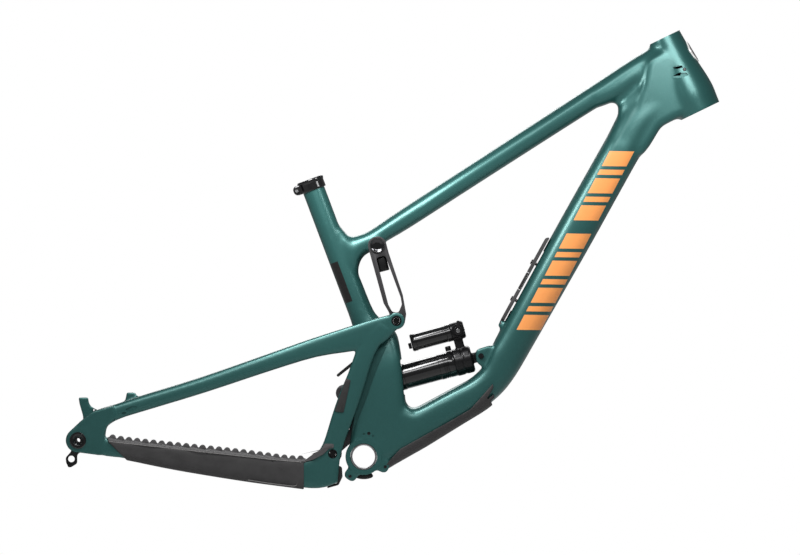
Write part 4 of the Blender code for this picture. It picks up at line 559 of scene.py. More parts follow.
def topTubeStations():
    wide, headWide, depth = frameShape["topWide"], frameShape["headWide"], frameShape["topHalf"]
    low = [(seatTube(80, 4), seatTube(158, 4), 11, 2.4),
           (seatTube(77, 15.5), seatTube(168, 15.5), wide - 0.5, 2.3),
           (topTube(32, 25), topTube(17.5, -24), wide, 2.3),
           (topTube(43, 19.5), topTube(31, -14), wide, 2.4),
           (topTube(57, 15.9), topTube(45, -13), wide - 0.3, 2.4)]
    run = [(topTube(along, rise), topTube(along, fall), width, power)
           for along, rise, fall, width, power in (
        (76, 15.2, -13.2, wide - 0.5, 2.2), (122, depth, 1.2 - depth, wide, 2.15),
                                                   (250, depth, 0.8 - depth, wide + 1, 2.15),
        (topLength - 158, depth + 0.2, -depth - 0.5, headWide - 2, 2.25),
        (topLength - 140, depth + 0.2, -depth - 2.5, headWide - 1, 2.3),
        (topLength - 108, depth + 0.4, -depth - 8, headWide, 2.4),
        (topLength - 60, depth + 0.6, -depth - 6, headWide, 2.5),
        (topLength - 12, depth - 1.5, -depth - 2, headWide - 2, 2.3))]
    return [(*station, 0.0) for station in low + run]


def gussetStations():
    return [(headBottom + Vector(u), headBottom + Vector(l), w, p, 0.0) for u, l, w, p in (
        ((-127.5, 3), (-127, -9), 9, 2.2), ((-124, 12), (-121, -18), 16, 2.4),
                                                                                           ((-112, 32),
                                                                                            (-102, -28),
                                                                                            21, 2.5),
        ((-88, 56), (-66, -14), 24.5, 2.6), ((-58, 78), (-26, 2), 26, 2.6), ((-38, 90), (-6, 14), 22, 2.4))]


def seatTubeStations():
    thin, wide = frameShape["seatRadius"], halfShell
    ends = [(seatTube(-6, thin), seatTube(-6, -thin), thin, 2.0)] + [
        (seatTube(along, thin + front), seatTube(along, -thin), thin + side, power)
        for along, front, side, power in ((60, 0, 0, 2.0), (130, 0, 0, 2.0), (175, 2.0, 0.4, 2.0),
                                          (225, 3.9, 1.8, 2.1))]
    return [(*station, 0.0) for station in ends] + [(Vector(u), Vector(l), w, p, 0.0) for u, l, w, p in (
        ((35, 206), (-14.5, 187), thin + 5, 2.5), ((50.5, 190), (-10.5, 168), thin + 10.5, 3.2),
        ((56, 168), (-9, 147), wide - 3.5, 4.2), ((59, 146), (-10, 124), wide - 0.7, 5.5),
        ((62, 115), (-13, 92), wide - 0.1, 6.5), ((64.5, 84), (-17, 60), wide - 0.1, 7.0),
        ((65, 60), (-21, 33), wide - 0.1, 7.0), ((58, 32), (-23, 12), wide - 0.1, 7.0),
        ((40, 4), (-18, -8), wide - 0.1, 6.0))]


def headProfile(ends):
    return [(0, -ends), (25, -ends), (25, 0), (25.8, 14), (27, 28), (28.4, 45), (30.2, 61), (31.8, 72),
            (33, 82),
            (34, 95), (33.8, 104), (33, 112), (32, 126), (32, 126 + ends), (0, 126 + ends)]


def shockEar(side):
    low, high = span(side, 14.7, 22.7)
    return slab(rounded([(*(shockFront + Vector(offset)), radius) for *offset, radius in (
        (-10, 9.5, 9), (14, 17, 6), (34, 10, 2), (24, -34, 2), (4, -19, 3), (-7, -10, 8))]), low, high)


guideTabs = {"circle": 36.7, "reach": 7.5, "angles": (77.5, 235.0, 335.0), "hole": 2.6}


def guideTab(angle):
    inner, outer = 24, guideTabs["circle"] + guideTabs["reach"]
    return slab(rounded([(*(aim(angle - 24) * inner), 0), (*(aim(angle - 14) * outer), 7.5),
                         (*(aim(angle + 14) * outer), 7.5), (*(aim(angle + 24) * inner), 0)]), -35.9, -29.9)


def frameCutters():
    end, pivot, axis = lengths["head"], lowerPivot, lift(headDown).normalized()
    tools = [
        turned([(0, -10), (22, -10), (22, 14), (19.5, 16), (23.5, end - 16), (28, end - 14), (28, end + 12),
                (0, end + 12)], lift(headTop), axis),
        bar(Vector((0, 0)), 20.6, -60, 60, 72),
        turned([(0, -12), (15.8, -12), (15.8, 215), (0, 215)], lift(seatTop), lift(seatDown)),
        bar(pivot, 7.3, -33.5, 41.5), bar(upperPivot, 7.3, -40, 40), bar(shockFront, 4.3, -40, 40),
        block(mix(shockRear, shockFront, 0.32), 0, (170, 56, 54), angles["shock"], 4),
        slab(rounded([(*(pivot + Vector((16.4, 2))), 6), (*(pivot + Vector((45, 56))), 0),
                      (*(pivot + Vector((38, 92))), 0), (*(pivot + Vector((-70, 92))), 0),
                      (*(pivot + Vector((-70, -60))), 0),
                      *[(*point, 0) for point in circle(Vector((0, 0)), 26, 200, 84, 8)],
                      (*(pivot + Vector((16.4, -14))), 6)]), -28, 28),
        bar(shockFront, 11.8, -14.7, 14.7)]
    step = outlineOf([(45, 190), (31, 160), (17, 126), (3.5, 87), (-12, 49), (-26, 13), (-70, 13),
                      (-70, 190)])
    for _, side in sides:
        tools.append(slab(step, *span(side, 31.2, 50)))
    for angle in guideTabs["angles"]:
        tools.append(bar(aim(angle) * guideTabs["circle"], guideTabs["hole"], -42, -29.5, 32))
    for angle in (guideTabs["angles"][0] - 12, guideTabs["angles"][0] + 12):  # dimples beside the top hole
        tools.append(bar(aim(angle) * (guideTabs["circle"] - 1.5), 1.7, -42, -34.6, 24))
    tools.append(tube([(downTube(downLength * share, 29.8), downTube(downLength * share, -29.8), 33, 3.0,
                        0.0)
                       for share in (0.93, 0.5, 0.06)], 1, 32, -4.8))
    tools.append(block(onDoor(82, -4), 0, (104, 26, 30), doorTilt))
    tools.append(block(onDoor(5, 4.5), 0, (15, 21, 16), doorTilt))
    for _, side in sides:
        for pocket in portPockets(side):
            tools.append(pocket)
    # Flat, crisp ends on the head tube and the seat tube
    for middle in (-10, end + 10):  # faces both ends of the head tube flat
        tools.append(block(headTop + headDown * middle, 0, (20, 92, 92), -angles["head"]))
    tools.append(turned([(0, -16), (30, -16), (30, -0.3), (0, -0.3)], lift(seatTop), lift(seatDown)))
    return tools


portPlace = headTop + headDown * 57 - leftOf(headDown) * 2
portTrack = track(portPlace, Vector((1, 0.12)).normalized())


portMouths = (((-14, 5.6), (-4, 9.2), (3.5, 7.6), (5.5, 4.6), (-4, 3.4)),
              ((-14, -6.8), (-2, -2.6), (9, -4.2), (12.5, -8.4), (3, -10.6), (-8, -10.2)))


def portPockets(side):
    # Two lens-shaped mouths for cables, cut into the head tube's side
    return [slab(rounded([(*portTrack(*corner), 2.0) for corner in corners]), *span(side, 25.6, 45))
            for corners in portMouths]


doorLow, doorHigh = downTube(5, 28.4), downTube(163, 29.5)
onDoor = track(doorLow, (doorHigh - doorLow).normalized())
doorTilt = math.degrees(math.atan2((doorHigh - doorLow).y, (doorHigh - doorLow).x))

headWeb = [(436, 612, 20), (474, 634, 20), (508, 556, 20), (510, 532, 8), (487, 523, 10), (458, 508, 20),
           (440, 478, 20), (424, 458, 20), (398, 496, 20), (413, 532, 30), (428, 572, 30)]
mainTubes = [tube(downTubeStations()), tube(topTubeStations()), tube(gussetStations()),
             tube(seatTubeStations()),
             turned(headProfile(5), lift(headTop), lift(headDown)),
             slab(rounded(headWeb), -27.2, 27.2, 9, 5)]
core = filleted(mainTubes, frameShape["voxel"], frameShape["fillet"], 4)
frameParts = [asShape(core), bar(upperPivot, 12.5, -17, 17),
              bar(Vector((0, 0)), 28, -halfShell, halfShell, 72),
              *[shockEar(side) for _, side in sides], *[guideTab(angle) for angle in guideTabs["angles"]],
              slab(rounded([(*onDoor(-2, -4), 0), (*onDoor(-2, 6.4), 4), (*onDoor(9.5, 6.4), 4),
                            (*onDoor(11, -4), 0)]), -13.5, 13.5)]
frameSkin = carved(fused(frameParts, frameShape["voxel"], frameShape["smoothing"]), frameCutters())
asPiece("frame_skin", frameSkin, greenFrame, "main_frame",
        ["front_triangle", "head_tube", "seat_tube", "bottom_bracket_shell"])
print("front triangle:", len(frameSkin.polygons), "faces")


# swingarm

stay = {"half": 5.25, "near": 43.25, "far": 79.25, "voxel": 1.5, "smoothing": 9}


def seatstayStations():
    near, far, half, back = stay["near"], stay["far"], stay["half"], rearAxle
    return [(back + Vector(u), back + Vector(l), half + w, p, y) for u, l, w, p, y in (
        ((-2, 22), (14, -6), 0, 3.0, far), ((22.5, 43.9), (45, 22), 0.3, 3.0, far - 1),
        ((58, 55.5), (66, 33.5), 1.5, 2.8, far - 3.5), ((93, 67.4), (100.5, 44.5), 2.5, 2.6, far - 7.5),
        ((187, 96.4), (194.5, 73), 3.5, 2.6, mix(far, near, 0.52)))] + [
        (Vector(u), Vector(l), half + w, p, y) for u, l, w, p, y in (
            ((-150, 157.5), (-142, 132.5), 3, 2.8, mix(far, near, 0.82)),
                                                                     ((-83, 181), (-72, 153.5), 1.6, 3.0,
                                                                      near + 1.2),
            ((-21, 201), (-12, 163), 0.3, 3.4, near), ((18, 213), (26, 172), -0.5, 3.8, near),
            ((42, 219), (52, 197), -0.6, 4.0, near))]


def chainstayStations():
    near, far, half, back = stay["near"], stay["far"], stay["half"], rearAxle
    return [(back + Vector(u), back + Vector(l), half + w, p, y) for u, l, w, p, y in (
        ((8, 8), (0, -16), 0, 3.0, far), ((46, 3), (44, -24.4), 0.3, 3.0, far - 1.5),
        ((75, -1.5), (74, -28), 2.2, 3.0, far - 6),
                                                                                       ((148, -9.5),
                                                                                        (147.5, -43), 3.2,
                                                                                        3.0,
                                                                                        mix(far, near,
                                                                                            0.45)))] + [
        (Vector(u), Vector(l), half + w, p, y) for u, l, w, p, y in (
            ((-190.5, 5.5), (-192, -34.0), 3.2, 3.2, mix(far, near, 0.78)),
                                                                     ((-113.5, -4.5), (-115, -44.5), 1.8,
                                                                      3.6, near + 1.6),
            ((-84, -3.5), (-80, -48.5), 0.4, 4.0, near + 0.2), ((-62, 3), (-58, -46.5), -0.5, 4.0, near),
            ((-45, 2), (-41, -39), -0.7, 4.0, near))]


def uprightStations():
    return [(Vector(front), Vector(rear), stay["half"], 4.0, stay["near"]) for front, rear in (
        ((-40, -40), (-74, -46)), ((-38, -20), (-86, -24)), ((-37, -8), (-80, -3)), ((-34, 6), (-67, 12)),
        ((-29, 24), (-59, 30)), ((-19.6, 49), (-50, 60)), ((-5.7, 87), (-37, 98)), ((3.5, 116), (-25, 126)),
        ((12.8, 146), (-14, 157)), ((24, 170), (-4, 182)), ((44, 193), (22, 207)))]


def onSide(stations, side):
    return [(u, l, w, p, y * side) for u, l, w, p, y in stations]


def swingHalf(side):
    outer, ends = span(side, uprightInner - 0.3, uprightOuter + 0.3), span(side, hubFace, dropoutOuter)
    back = rearAxle
    fan = rounded([(*(back + Vector(spot)), radius) for *spot, radius in (
        (-14, 12.5, 0), (4, 29.5, 4), (22.5, 43.9, 8), (54, 53, 0), (58, 36, 0), (42, 19, 14), (40, 5, 3),
        (41, -22, 0), (33, -23, 8), (-6, -17.8, 0))])
    return [tube(onSide(seatstayStations(), side), 3, 28), tube(onSide(chainstayStations(), side), 3, 28),
            tube(onSide(uprightStations(), side), 2, 28), bar(swingPivot, 13, *outer),
            bar(chainPivot, 9.5, *outer),
            bar(chainPivot, 10, *span(side, 27.2, 43)), bar(back, 18.8, *ends, 72),
            slab(fan, *span(side, hubFace + 0.4, dropoutOuter - 0.4))]


brakePosts = {"rear": Vector((5.4, 64.9)), "front": Vector((79.4, 72.6))}
postShapes = {
    "rear": [(-1.4, 65.2, 1.2), (13.6, 65.2, 1.2), (14.6, 57, 6), (19, 49, 10), (34, 42, 0), (20, 28, 0),
             (6.6, 26, 0),
             (5.2, 38, 10), (0.2, 55, 14)],
    "front": [(73.2, 72.8, 1), (85.8, 72.8, 1), (88.5, 68, 6), (97, 64.5, 0), (84, 50, 0), (66, 48, 0),
              (71, 62, 5)]}
hangerEye = rearAxle + Vector((-10.1, -28.6))


def brakePost(corners):
    return slab(rounded([(*(rearAxle + Vector(corner[:2])), corner[2]) for corner in corners]), 70, 82)


def hangerOutline(grow=0.0):
    wide = 10.5 + grow
    return rounded([(*(rearAxle + Vector((-wide, 0))), 0), (*(rearAxle + Vector((-wide, -17))), 6),
                    (*(hangerEye + Vector((-9.0 - grow, 2))), 6),
                    (*(hangerEye + Vector((-8 - grow, -6))), 5),
                    (*(hangerEye + Vector((-4.5, -13 - grow))), 2),
                    (*(hangerEye + Vector((0, -12.5 - grow))), 2),
                    (*(hangerEye + Vector((9 + grow, -7))), 5), (*(hangerEye + Vector((9 + grow, 8))), 6),
                    (*(rearAxle + Vector((wide, -16.5))), 6), (*(rearAxle + Vector((wide, 0))), 0)])


def swingCutters():
    tools = [bar(chainPivot, 5.3, -60, 60), bar(swingPivot, 5.4, -60, 60), bar(rearAxle, 6.3, -100, 100),
             bar(rearAxle, 8.8, -100, -60), bar(rearAxle, 9.3, dropoutOuter - 3.2, 100),
             bar(rearAxle, 14.3, -hubFace - 5.6, -60), slab(hangerOutline(0.6), -hubFace - 5.6, -60)]
    for head in brakePosts.values():
        tools.append(turned([(0, -11), (2.6, -11), (2.6, 4), (0, 4)], lift(rearAxle + head, 76),
                            Vector((0, 0, 1)), 32))
    for _, side in sides:  # bearing counterbores on the outer faces, and the cable port by the dropout
        tools.append(bar(swingPivot, 8.0, *span(side, uprightOuter - 1.6, 60)))
        tools.append(bar(chainPivot, 7.2, *span(side, uprightOuter - 1.4, 60)))
        for corners in (((72, 47.5), (83, 52.5), (92, 52), (88, 47), (78, 44)),
                        ((67, 42.5), (74, 44), (73, 40.5), (68, 39.5))):
            outline = rounded([(*(rearAxle + Vector(corner)), 1.6) for corner in corners])
            tools.append(slab(outline, *span(side, 79.5, 100)))
    return tools


swingParts = [part for _, side in sides for part in swingHalf(side)]
swingParts.append(block(Vector((-78, 167.5)), 0, (22, 84, 13), 18, 4))
swingParts.append(slab(rounded([(-84, -12, 6), (-60, -12, 2), (-46, -14, 6), (-40, -40, 6), (-56, -45.5, 6),
                                (-84, -47.5, 8)]), -42, 42))
swingParts += [brakePost(corners) for corners in postShapes.values()]
swingSkin = carved(fused(swingParts, stay["voxel"], stay["smoothing"]), swingCutters())
asPiece("swingarm_skin", swingSkin, greenSwing, "rear_swingarm", ["swingarm"])
print("swingarm:", len(swingSkin.polygons), "faces")


# hardware helpers

bodyOf = {node: body for body, members in frame["record"]["behaviour"]["bodies"].items()
          for node in members}
slotOf = {part["node"]: part["material_slot"] for part in frame["record"]["subparts"]}


def extent(node):
    # centre of the side view, half width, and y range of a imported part, in millimetres
    low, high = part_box(node)
    centre = Vector(((low[0] + high[0]) / 2, (low[2] + high[2]) / 2)) / mm
    return centre, (high[0] - low[0]) / 2 / mm, low[1] / mm, high[1] / mm


def fitting(node, shape, finish, name=None, sharp=35):
    return asPiece(name or node.replace("_", "-"), shape, finish, bodyOf[node], [node], sharp)


def eased(mesh, width, segments=3, corner=30):
    item = bpy.data.objects.new("work", mesh)
    bpy.context.scene.collection.objects.link(item)
    bevel = item.modifiers.new("ease", "BEVEL")
    bevel.width, bevel.segments, bevel.limit_method = width * mm, segments, "ANGLE"
    bevel.angle_limit = math.radians(corner)
    return applied(item)


def easedNode(node, finish, width=0.5, segments=2):
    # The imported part's own shape with its edges rounded over
    shape = bmesh.new()
    shape.from_mesh(frame["nodes"][node].data)
    bmesh.ops.remove_doubles(shape, verts=shape.verts, dist=2e-5)
    bmesh.ops.dissolve_limit(shape, angle_limit=math.radians(0.5), verts=shape.verts, edges=shape.edges)
    return fitting(node, eased(meshOf(shape), width, segments), finish)


# bottom bracket, collar, badge and ports

rim = turned([(20.7, -halfShell - 0.05), (27.4, -halfShell - 0.05), (28.0, -halfShell + 0.6),
              (28.0, halfShell - 0.6),
              (27.4, halfShell + 0.05), (20.7, halfShell + 0.05)], Vector((0, 0, 0)), across, 96)
asPiece("shell_rim", rim, greenSwing, "main_frame", [])


def sleeveProfile():
    bore, outer, face = 17.4, 20.3, halfShell - 0.4
    crests = [(bore + 0.5 * (turn % 2), face - 3 - turn * 0.9) for turn in range(12)]
    half = [(outer, face - 0.5), (outer - 0.4, face), (bore + 0.7, face),
            (bore, face - 2)] + crests + [(bore + 0.4, 20)]
    return half + [(radius, -distance) for radius, distance in reversed(half)]


fitting("bottom_bracket_insert", turned(sleeveProfile(), Vector((0, 0, 0)), across, 96), turnedSteel)

collar = {"bore": 17.95, "radius": 20.85, "height": 17.0, "lobe": 7.0, "top": -1.6}
boltPlace = extent("seat_collar_bolt")[0]


def seatCollar():
    bore, outer, low, top = collar["bore"], collar["radius"], collar["height"] - 0.6, collar["top"]
    band = turned([(bore - 1.4, top), (outer - 0.9, top), (outer, top + 0.9), (outer, 3.0),
                   (outer - 0.9, 3.9),
                   (outer - 0.9, low - 0.6), (outer - 1.4, low), (bore - 1.4, low)], lift(seatTop),
                  lift(seatDown), 72)
    lug = slab(rounded([(*seatTube(1.2, -bore + 1), 0), (*seatTube(low, -bore + 1), 0),
                        (*seatTube(low - 0.6, -outer - 9.3), collar["lobe"]),
                        (*seatTube(1.2, -outer - 9.3), collar["lobe"])]), -10.9, 10.9, 1.6)
    whole = fused([band, lug], 0.85, 2)
    return carved(whole, [turned([(0, -20), (bore - 1.0, -20), (bore - 1.0, 40), (0, 40)], lift(seatTop),
                                 lift(seatDown)),
                          turned([(0, -0.3), (bore, -0.3), (bore, 40), (0, 40)], lift(seatTop),
                                 lift(seatDown)),
                          bar(boltPlace, 2.8, -20, 20, 32), bar(boltPlace, 4.9, 10.2, 20, 40),
                          block(seatTube(8, -outer - 2), 0, (26, 2.0, 26), -angles["seat"])])


fitting("seat_collar", seatCollar(), glossBlack, "seat_clamp", 40)
fitting("seat_collar_bolt", turned([(0, -12.6), (2.5, -12.6), (2.5, 11.3), (4.2, 11.3), (4.4, 11.6),
                                    (4.4, 14.4),
                                    (3.7, 15.2), (2.3, 15.2), (2.0, 14.8), (2.0, 12.4), (0, 12.4)],
                                   lift(boltPlace), across, 48), turnedSteel)
fitting("seat_collar_nut", turned([(2.8, -14.6), (4.0, -14.6), (4.4, -14.2), (4.4, -11.3), (2.8, -11.3)],
                                  lift(boltPlace), across, 48), satinBlack)


def grownHead(grow):
    return turned([(radius + grow if radius else 0, distance) for radius, distance in headProfile(0)],
                  lift(headTop), lift(headDown), 128)


def onHead(outline, grow, under):
    # A plate that follows the head tube: the outline is a solid tool that passes through it
    return carved(meshOf(grownHead(grow)), [outline], "INTERSECT") if under is None else carved(
        carved(meshOf(grownHead(grow)), [outline], "INTERSECT"), [grownHead(under)])


badge = {"start": 21, "end": 58, "half": 13.5}
forward = leftOf(headDown)


def badgeOutline(inset):
    start, end, half = badge["start"] + inset, badge["end"] - inset, badge["half"] - inset
    flat = slab(rounded([(-4.5 + inset * 0.4, start, 3), (-half, start + 13, 12),
                         (-half * 0.8, end - 9, 8), (0, end, 6),
                         (half * 0.8, end - 9, 8), (half, start + 13, 12), (4.5 - inset * 0.4, start, 3)],
                        8), 18, 60)
    turn = Matrix(((0, forward.x, headDown.x), (1, 0, 0), (0, forward.y, headDown.y))).to_4x4()
    bmesh.ops.transform(flat, verts=flat.verts, matrix=Matrix.Translation(lift(headTop)) @ turn)
    bmesh.ops.recalc_face_normals(flat, faces=flat.faces)
    return flat


fitting("head_badge", onHead(badgeOutline(0), 1.5, -1.0), platePaint, "badge_plate")
asPiece("badge_panel", onHead(badgeOutline(2.6), 1.9, 1.2), glossBlack, "main_frame", [])

for label, side in sides:
    node = f"cable_port_{label}"
    plate = onHead(slab(rounded([(*portTrack(x, z), r) for x, z, r in
                                 ((-14, -6.5, 5), (11.5, -8, 7), (14.8, 0, 3), (10, 8, 6), (-14, 6.5, 5))]),
                        *span(side, 22, 45)), 0.35, -4.5)
    screw, _, low, high = extent(f"cable_port_screw_{label}")
    fitting(node, carved(plate, portPockets(side) + [bar(screw, 3.0, *span(side, 20, 45))]), greenSwing)
    inner, outer = (low, high) if side > 0 else (-high, -low)
    fitting(f"cable_port_screw_{label}",
            turned([(0, inner), (2.6, inner), (2.6, outer - 0.5), (2.1, outer), (1.2, outer),
                    (1.0, outer - 0.3),
                    (1.0, outer - 1.4), (0, outer - 1.4)], lift(screw), across * side, 40), glossBlack)
print("head and seat fittings made")


# rubber guards

guardShape = {"clear": 0.15, "thick": 4.6, "voxel": 1.1}


def downTubeGuard():
    run = [station for station in downTubeStations() if station[1].x < shockFront.x + 46]
    edge = [(214, 130), (203, 92), (196, 86), (187, 85), (164, 73), (133, 55), (56, 12), (44, -1),
            (34, -13), (26, -40),
            (240, -40), (240, 130)]
    outer = carved(meshOf(tube(run, 3, 48, guardShape["thick"])), [slab(outlineOf(edge), -60, 60)],
                   "INTERSECT")
    cover = carved(outer, [tube(run, 3, 48, guardShape["clear"]), bar(Vector((0, 0)), 28.6, -60, 60, 72),
                           slab(outlineOf([(190, 200), (202, 84), (206, 70), (260, 70), (260, 200)]), -60,
                                60)])
    shape = bmesh.new()
    shape.from_mesh(cover)
    return fused([shape], guardShape["voxel"], 3)


fitting("downtube_guard", downTubeGuard(), guardRubber)
easedNode("shell_guard", blackRubber, 1.2, 3)
easedNode("yoke_guard", blackRubber, 1.0, 3)
easedNode("tunnel_fender", blackRubber, 0.9, 3)

stayCover = {"thick": 2.6, "band": 2.3, "voxel": 0.95, "ribs": 24, "first": -386, "last": -97,
             "lowRibs": 8, "lowFirst": -178, "lowLast": -97}
coverEdge = [(-393, 24), (-142, -4), (-92, -8.5)]


def stayShell(corners, grow):
    outline = slab(outlineOf(corners), -120, -20)
    drive = onSide(chainstayStations(), -1)
    outer = carved(meshOf(tube(drive, 4, 48, grow)), [outline], "INTERSECT")
    return carved(outer, [tube(drive, 4, 48, guardShape["clear"])])


def ribAt(x, upper):
    # A rounded cleat that stands across the stay
    stations = smoothStations(onSide(chainstayStations(), -1), 4)
    edge = 0 if upper else 1
    near = min(range(len(stations) - 1), key=lambda k: abs((stations[k][edge].x + stations[k + 1][edge].x)
                                                           / 2 - x))
    start, end, y = stations[near][edge], stations[near + 1][edge], stations[near][4]
    along = (end - start).normalized()
    outward = leftOf(along) if upper else -leftOf(along)
    foot = start + along * (x - start.x) / along.x + outward * (1.2 if upper else -1.6)
    reach, rise = (5.2, 6.2) if upper else (4.8, 4.0)
    arch = [foot + along * (reach * math.cos(turn)) + outward * (rise * math.sin(turn))
            for turn in (math.pi * step / 12 for step in range(13))]
    return slab(arch, y - 5.6, y + 4.4, 0.9, 2)


def spread(first, last, count):
    return [mix(first, last, step / (count - 1)) for step in range(count)]


lowerCorners = [coverEdge[0], coverEdge[1], coverEdge[2], (-92, -70), (-363, -70), (-363, -6)]
upperCorners = [coverEdge[0], (-395, 60), (-89, 60), (-89, -8.8), (-142, -4)]
lowRibs = [ribAt(x, False) for x in spread(stayCover["lowFirst"], stayCover["lowLast"],
                                           stayCover["lowRibs"])]
topRibs = [ribAt(x, True) for x in spread(stayCover["first"], stayCover["last"], stayCover["ribs"])]
cover = fused([asShape(stayShell(lowerCorners, stayCover["thick"])), *lowRibs], stayCover["voxel"], 2)
fitting("chainstay_guard", cover, guardRubber, "stay_cover")
band = fused([asShape(stayShell(upperCorners, stayCover["band"])), *topRibs], stayCover["voxel"], 2)
asPiece("stay_rib_band", band, bandRubber, "rear_swingarm", [])


def beadAlong(points, radius, y, name, finish):
    # A thin raised line that follows the cover's edge; the pale ones carry a painted highlight line
    run = [(Vector(point) + Vector((0, radius)), Vector(point) - Vector((0, radius)), radius, 2.0, depth)
           for point, depth in zip(points, y)]
    asPiece(name, tube(run, 6, 16), finish, "rear_swingarm", [])


def stayFace(x, grow):
    stations = smoothStations(onSide(chainstayStations(), -1), 4)
    near = min(stations, key=lambda station: abs((station[0].x + station[1].x) / 2 - x))
    return near[4] - near[2] - grow


edgeRun = spread(-391, -96, 14)
# pale bead along the cover's lower edge: a painted highlight line
beadAlong([(-178, -35.5), (-142, -41), (-112, -44.6), (-104, -44.0), (-102, -40)], 0.6,
          [stayFace(x, 2.0) for x in (-178, -142, -112, -104, -102)], "stay_cover_lower_highlight_edge", highlightBeadRubber)
beadAlong([(-142, -4), (-136, -11), (-128, -18.5), (-118, -20.5), (-108, -21)], 0.5,
          [stayFace(x, 2.1) for x in (-142, -136, -128, -118, -108)], "stay_cover_step", blackRubber)
cornerTab = rounded([(-96, 4, 0), (-96, -9, 0), (-78, -4.5, 8), (-62, 4, 8), (-53, 13, 4), (-46, 13.5, 2),
                     (-46, 20, 2),
                     (-60, 20.5, 3), (-66, 11, 8), (-78, 4, 8)])
asPiece("stay_corner_tab", eased(meshOf(slab(cornerTab, -50.4, -41)), 0.8, 3), bandRubber,
        "rear_swingarm", [])
# pale bead between the rib band and the side of the cover: a painted highlight line
beadAlong([(x, 24 - (x + 393) * 28 / 251 if x < -142 else -4 - (x + 142) * 0.09) for x in edgeRun], 0.75,
          [stayFace(x, 1.9) for x in edgeRun], "stay_cover_highlight_edge", highlightBeadRubber)


def uprightStrip(corners, grow):
    drive = onSide(uprightStations(), -1)
    outer = carved(meshOf(tube(drive, 3, 40, grow)), [slab(rounded(corners), -60, -30)], "INTERSECT")
    return eased(carved(outer, [tube(drive, 3, 40, 0.2)]), 0.3, 2)


asPiece("upright_strip", uprightStrip([(-20, 118, 2), (-27, 121, 2), (-45, 70, 2), (-31, 68, 2)], 1.3),
        blackRubber,
        "rear_swingarm", [])
print("guards made")


# storage door

easedNode("storage_door", guardRubber, 1.0, 3)
easedNode("door_latch", blackRubber, 0.8, 3)
centre, half, low, high = extent("door_hinge_pin")
fitting("door_hinge_pin", bar(centre, half, low, high, 32), turnedSteel)
doorUp = lift(leftOf((doorHigh - doorLow).normalized())).normalized()
for label, shift in (("upper", 111), ("lower", 47)):
    fitting(f"cage_bolt_{label}", turned([(0, -1.5), (2.5, -1.5), (2.5, 6.9), (4.2, 6.9), (4.4, 7.2),
                                          (4.0, 8.3), (3.2, 8.8),
                                          (1.9, 8.8), (1.6, 8.5), (1.6, 7.2), (0, 7.2)],
                                         lift(onDoor(shift, 0)), doorUp, 48),
            glossBlack)


# linkage

def bearing(node, inner, finish=None):
    centre, outer, low, high = extent(node)
    profile = [(inner, low), (inner, high), (inner + 0.9, high), (inner + 1.1, high - 0.4),
               (outer - 1.1, high - 0.4),
               (outer - 0.9, high), (outer - 0.2, high), (outer, high - 0.3), (outer, low + 0.3),
               (outer - 0.2, low),
               (outer - 0.9, low), (outer - 1.1, low + 0.4), (inner + 1.1, low + 0.4), (inner + 0.9, low)]
    fitting(node, turned(profile, lift(centre), across, 64), finish or turnedSteel)


for label, _ in sides:
    bearing(f"upper_link_bearing_{label}", 7.3)
    bearing(f"swing_bearing_{label}", 5.4)
    bearing(f"link_frame_bearing_{label}", 7.3)
    bearing(f"link_rear_bearing_{label}", 8.1)
bearing("shock_front_bushing", 4.3)

linkTrack = track(upperPivot, (swingPivot - upperPivot).normalized())
linkLength = (swingPivot - upperPivot).length
upperArm = {"inner": 28.0, "outer": 37.2, "boss": 14.3, "lug": 17.0}


def linkArms():
    boss = upperArm["boss"]
    outline = rounded([(*linkTrack(*spot), radius) for *spot, radius in (
        (-boss, -boss, boss), (14, -boss + 0.4, 30), (88, -12.5, 10), (104, -8, 10),
                                                                         (linkLength + 11, -9.5, 10),
        (linkLength + 11, 9.5, 10), (linkLength - 6, 17, 6), (linkLength - 36, 19.3, 14), (14, boss, 30),
        (-boss, boss, boss))], 6)
    slot = rounded([(*linkTrack(*spot), radius) for *spot, radius in (
        (17.5, -6.4, 4), (92, -6.0, 4), (104, -3, 4), (108, 6, 5), (97, 14.2, 5), (86, 15.2, 8),
                                                                      (17.5, 8.2, 4))], 12)
    arms = []
    for _, side in sides:
        arm = carved(meshOf(slab(outline, *span(side, upperArm["inner"], upperArm["outer"]))),
                     [slab(slot, *span(side, 20, 45)),
                      bar(upperPivot, 8.1, *span(side, 20, 45)), bar(swingPivot, 6.2, *span(side, 20, 45)),
                      bar(upperPivot, 11.4, *span(side, 30.0, 45), 64),
                      bar(swingPivot, 9.1, *span(side, 30.0, 45), 64)])
        arms.append(asShape(eased(arm, 0.9, 3)))
        ends = span(side, upperArm["lug"] + 1.2, upperArm["inner"] + 0.2)
        arms.append(asShape(carved(meshOf(bar(upperPivot, boss - 0.5, *ends, 64)),
                                   [bar(upperPivot, 8.1, -60, 60)])))
    return joined(arms)


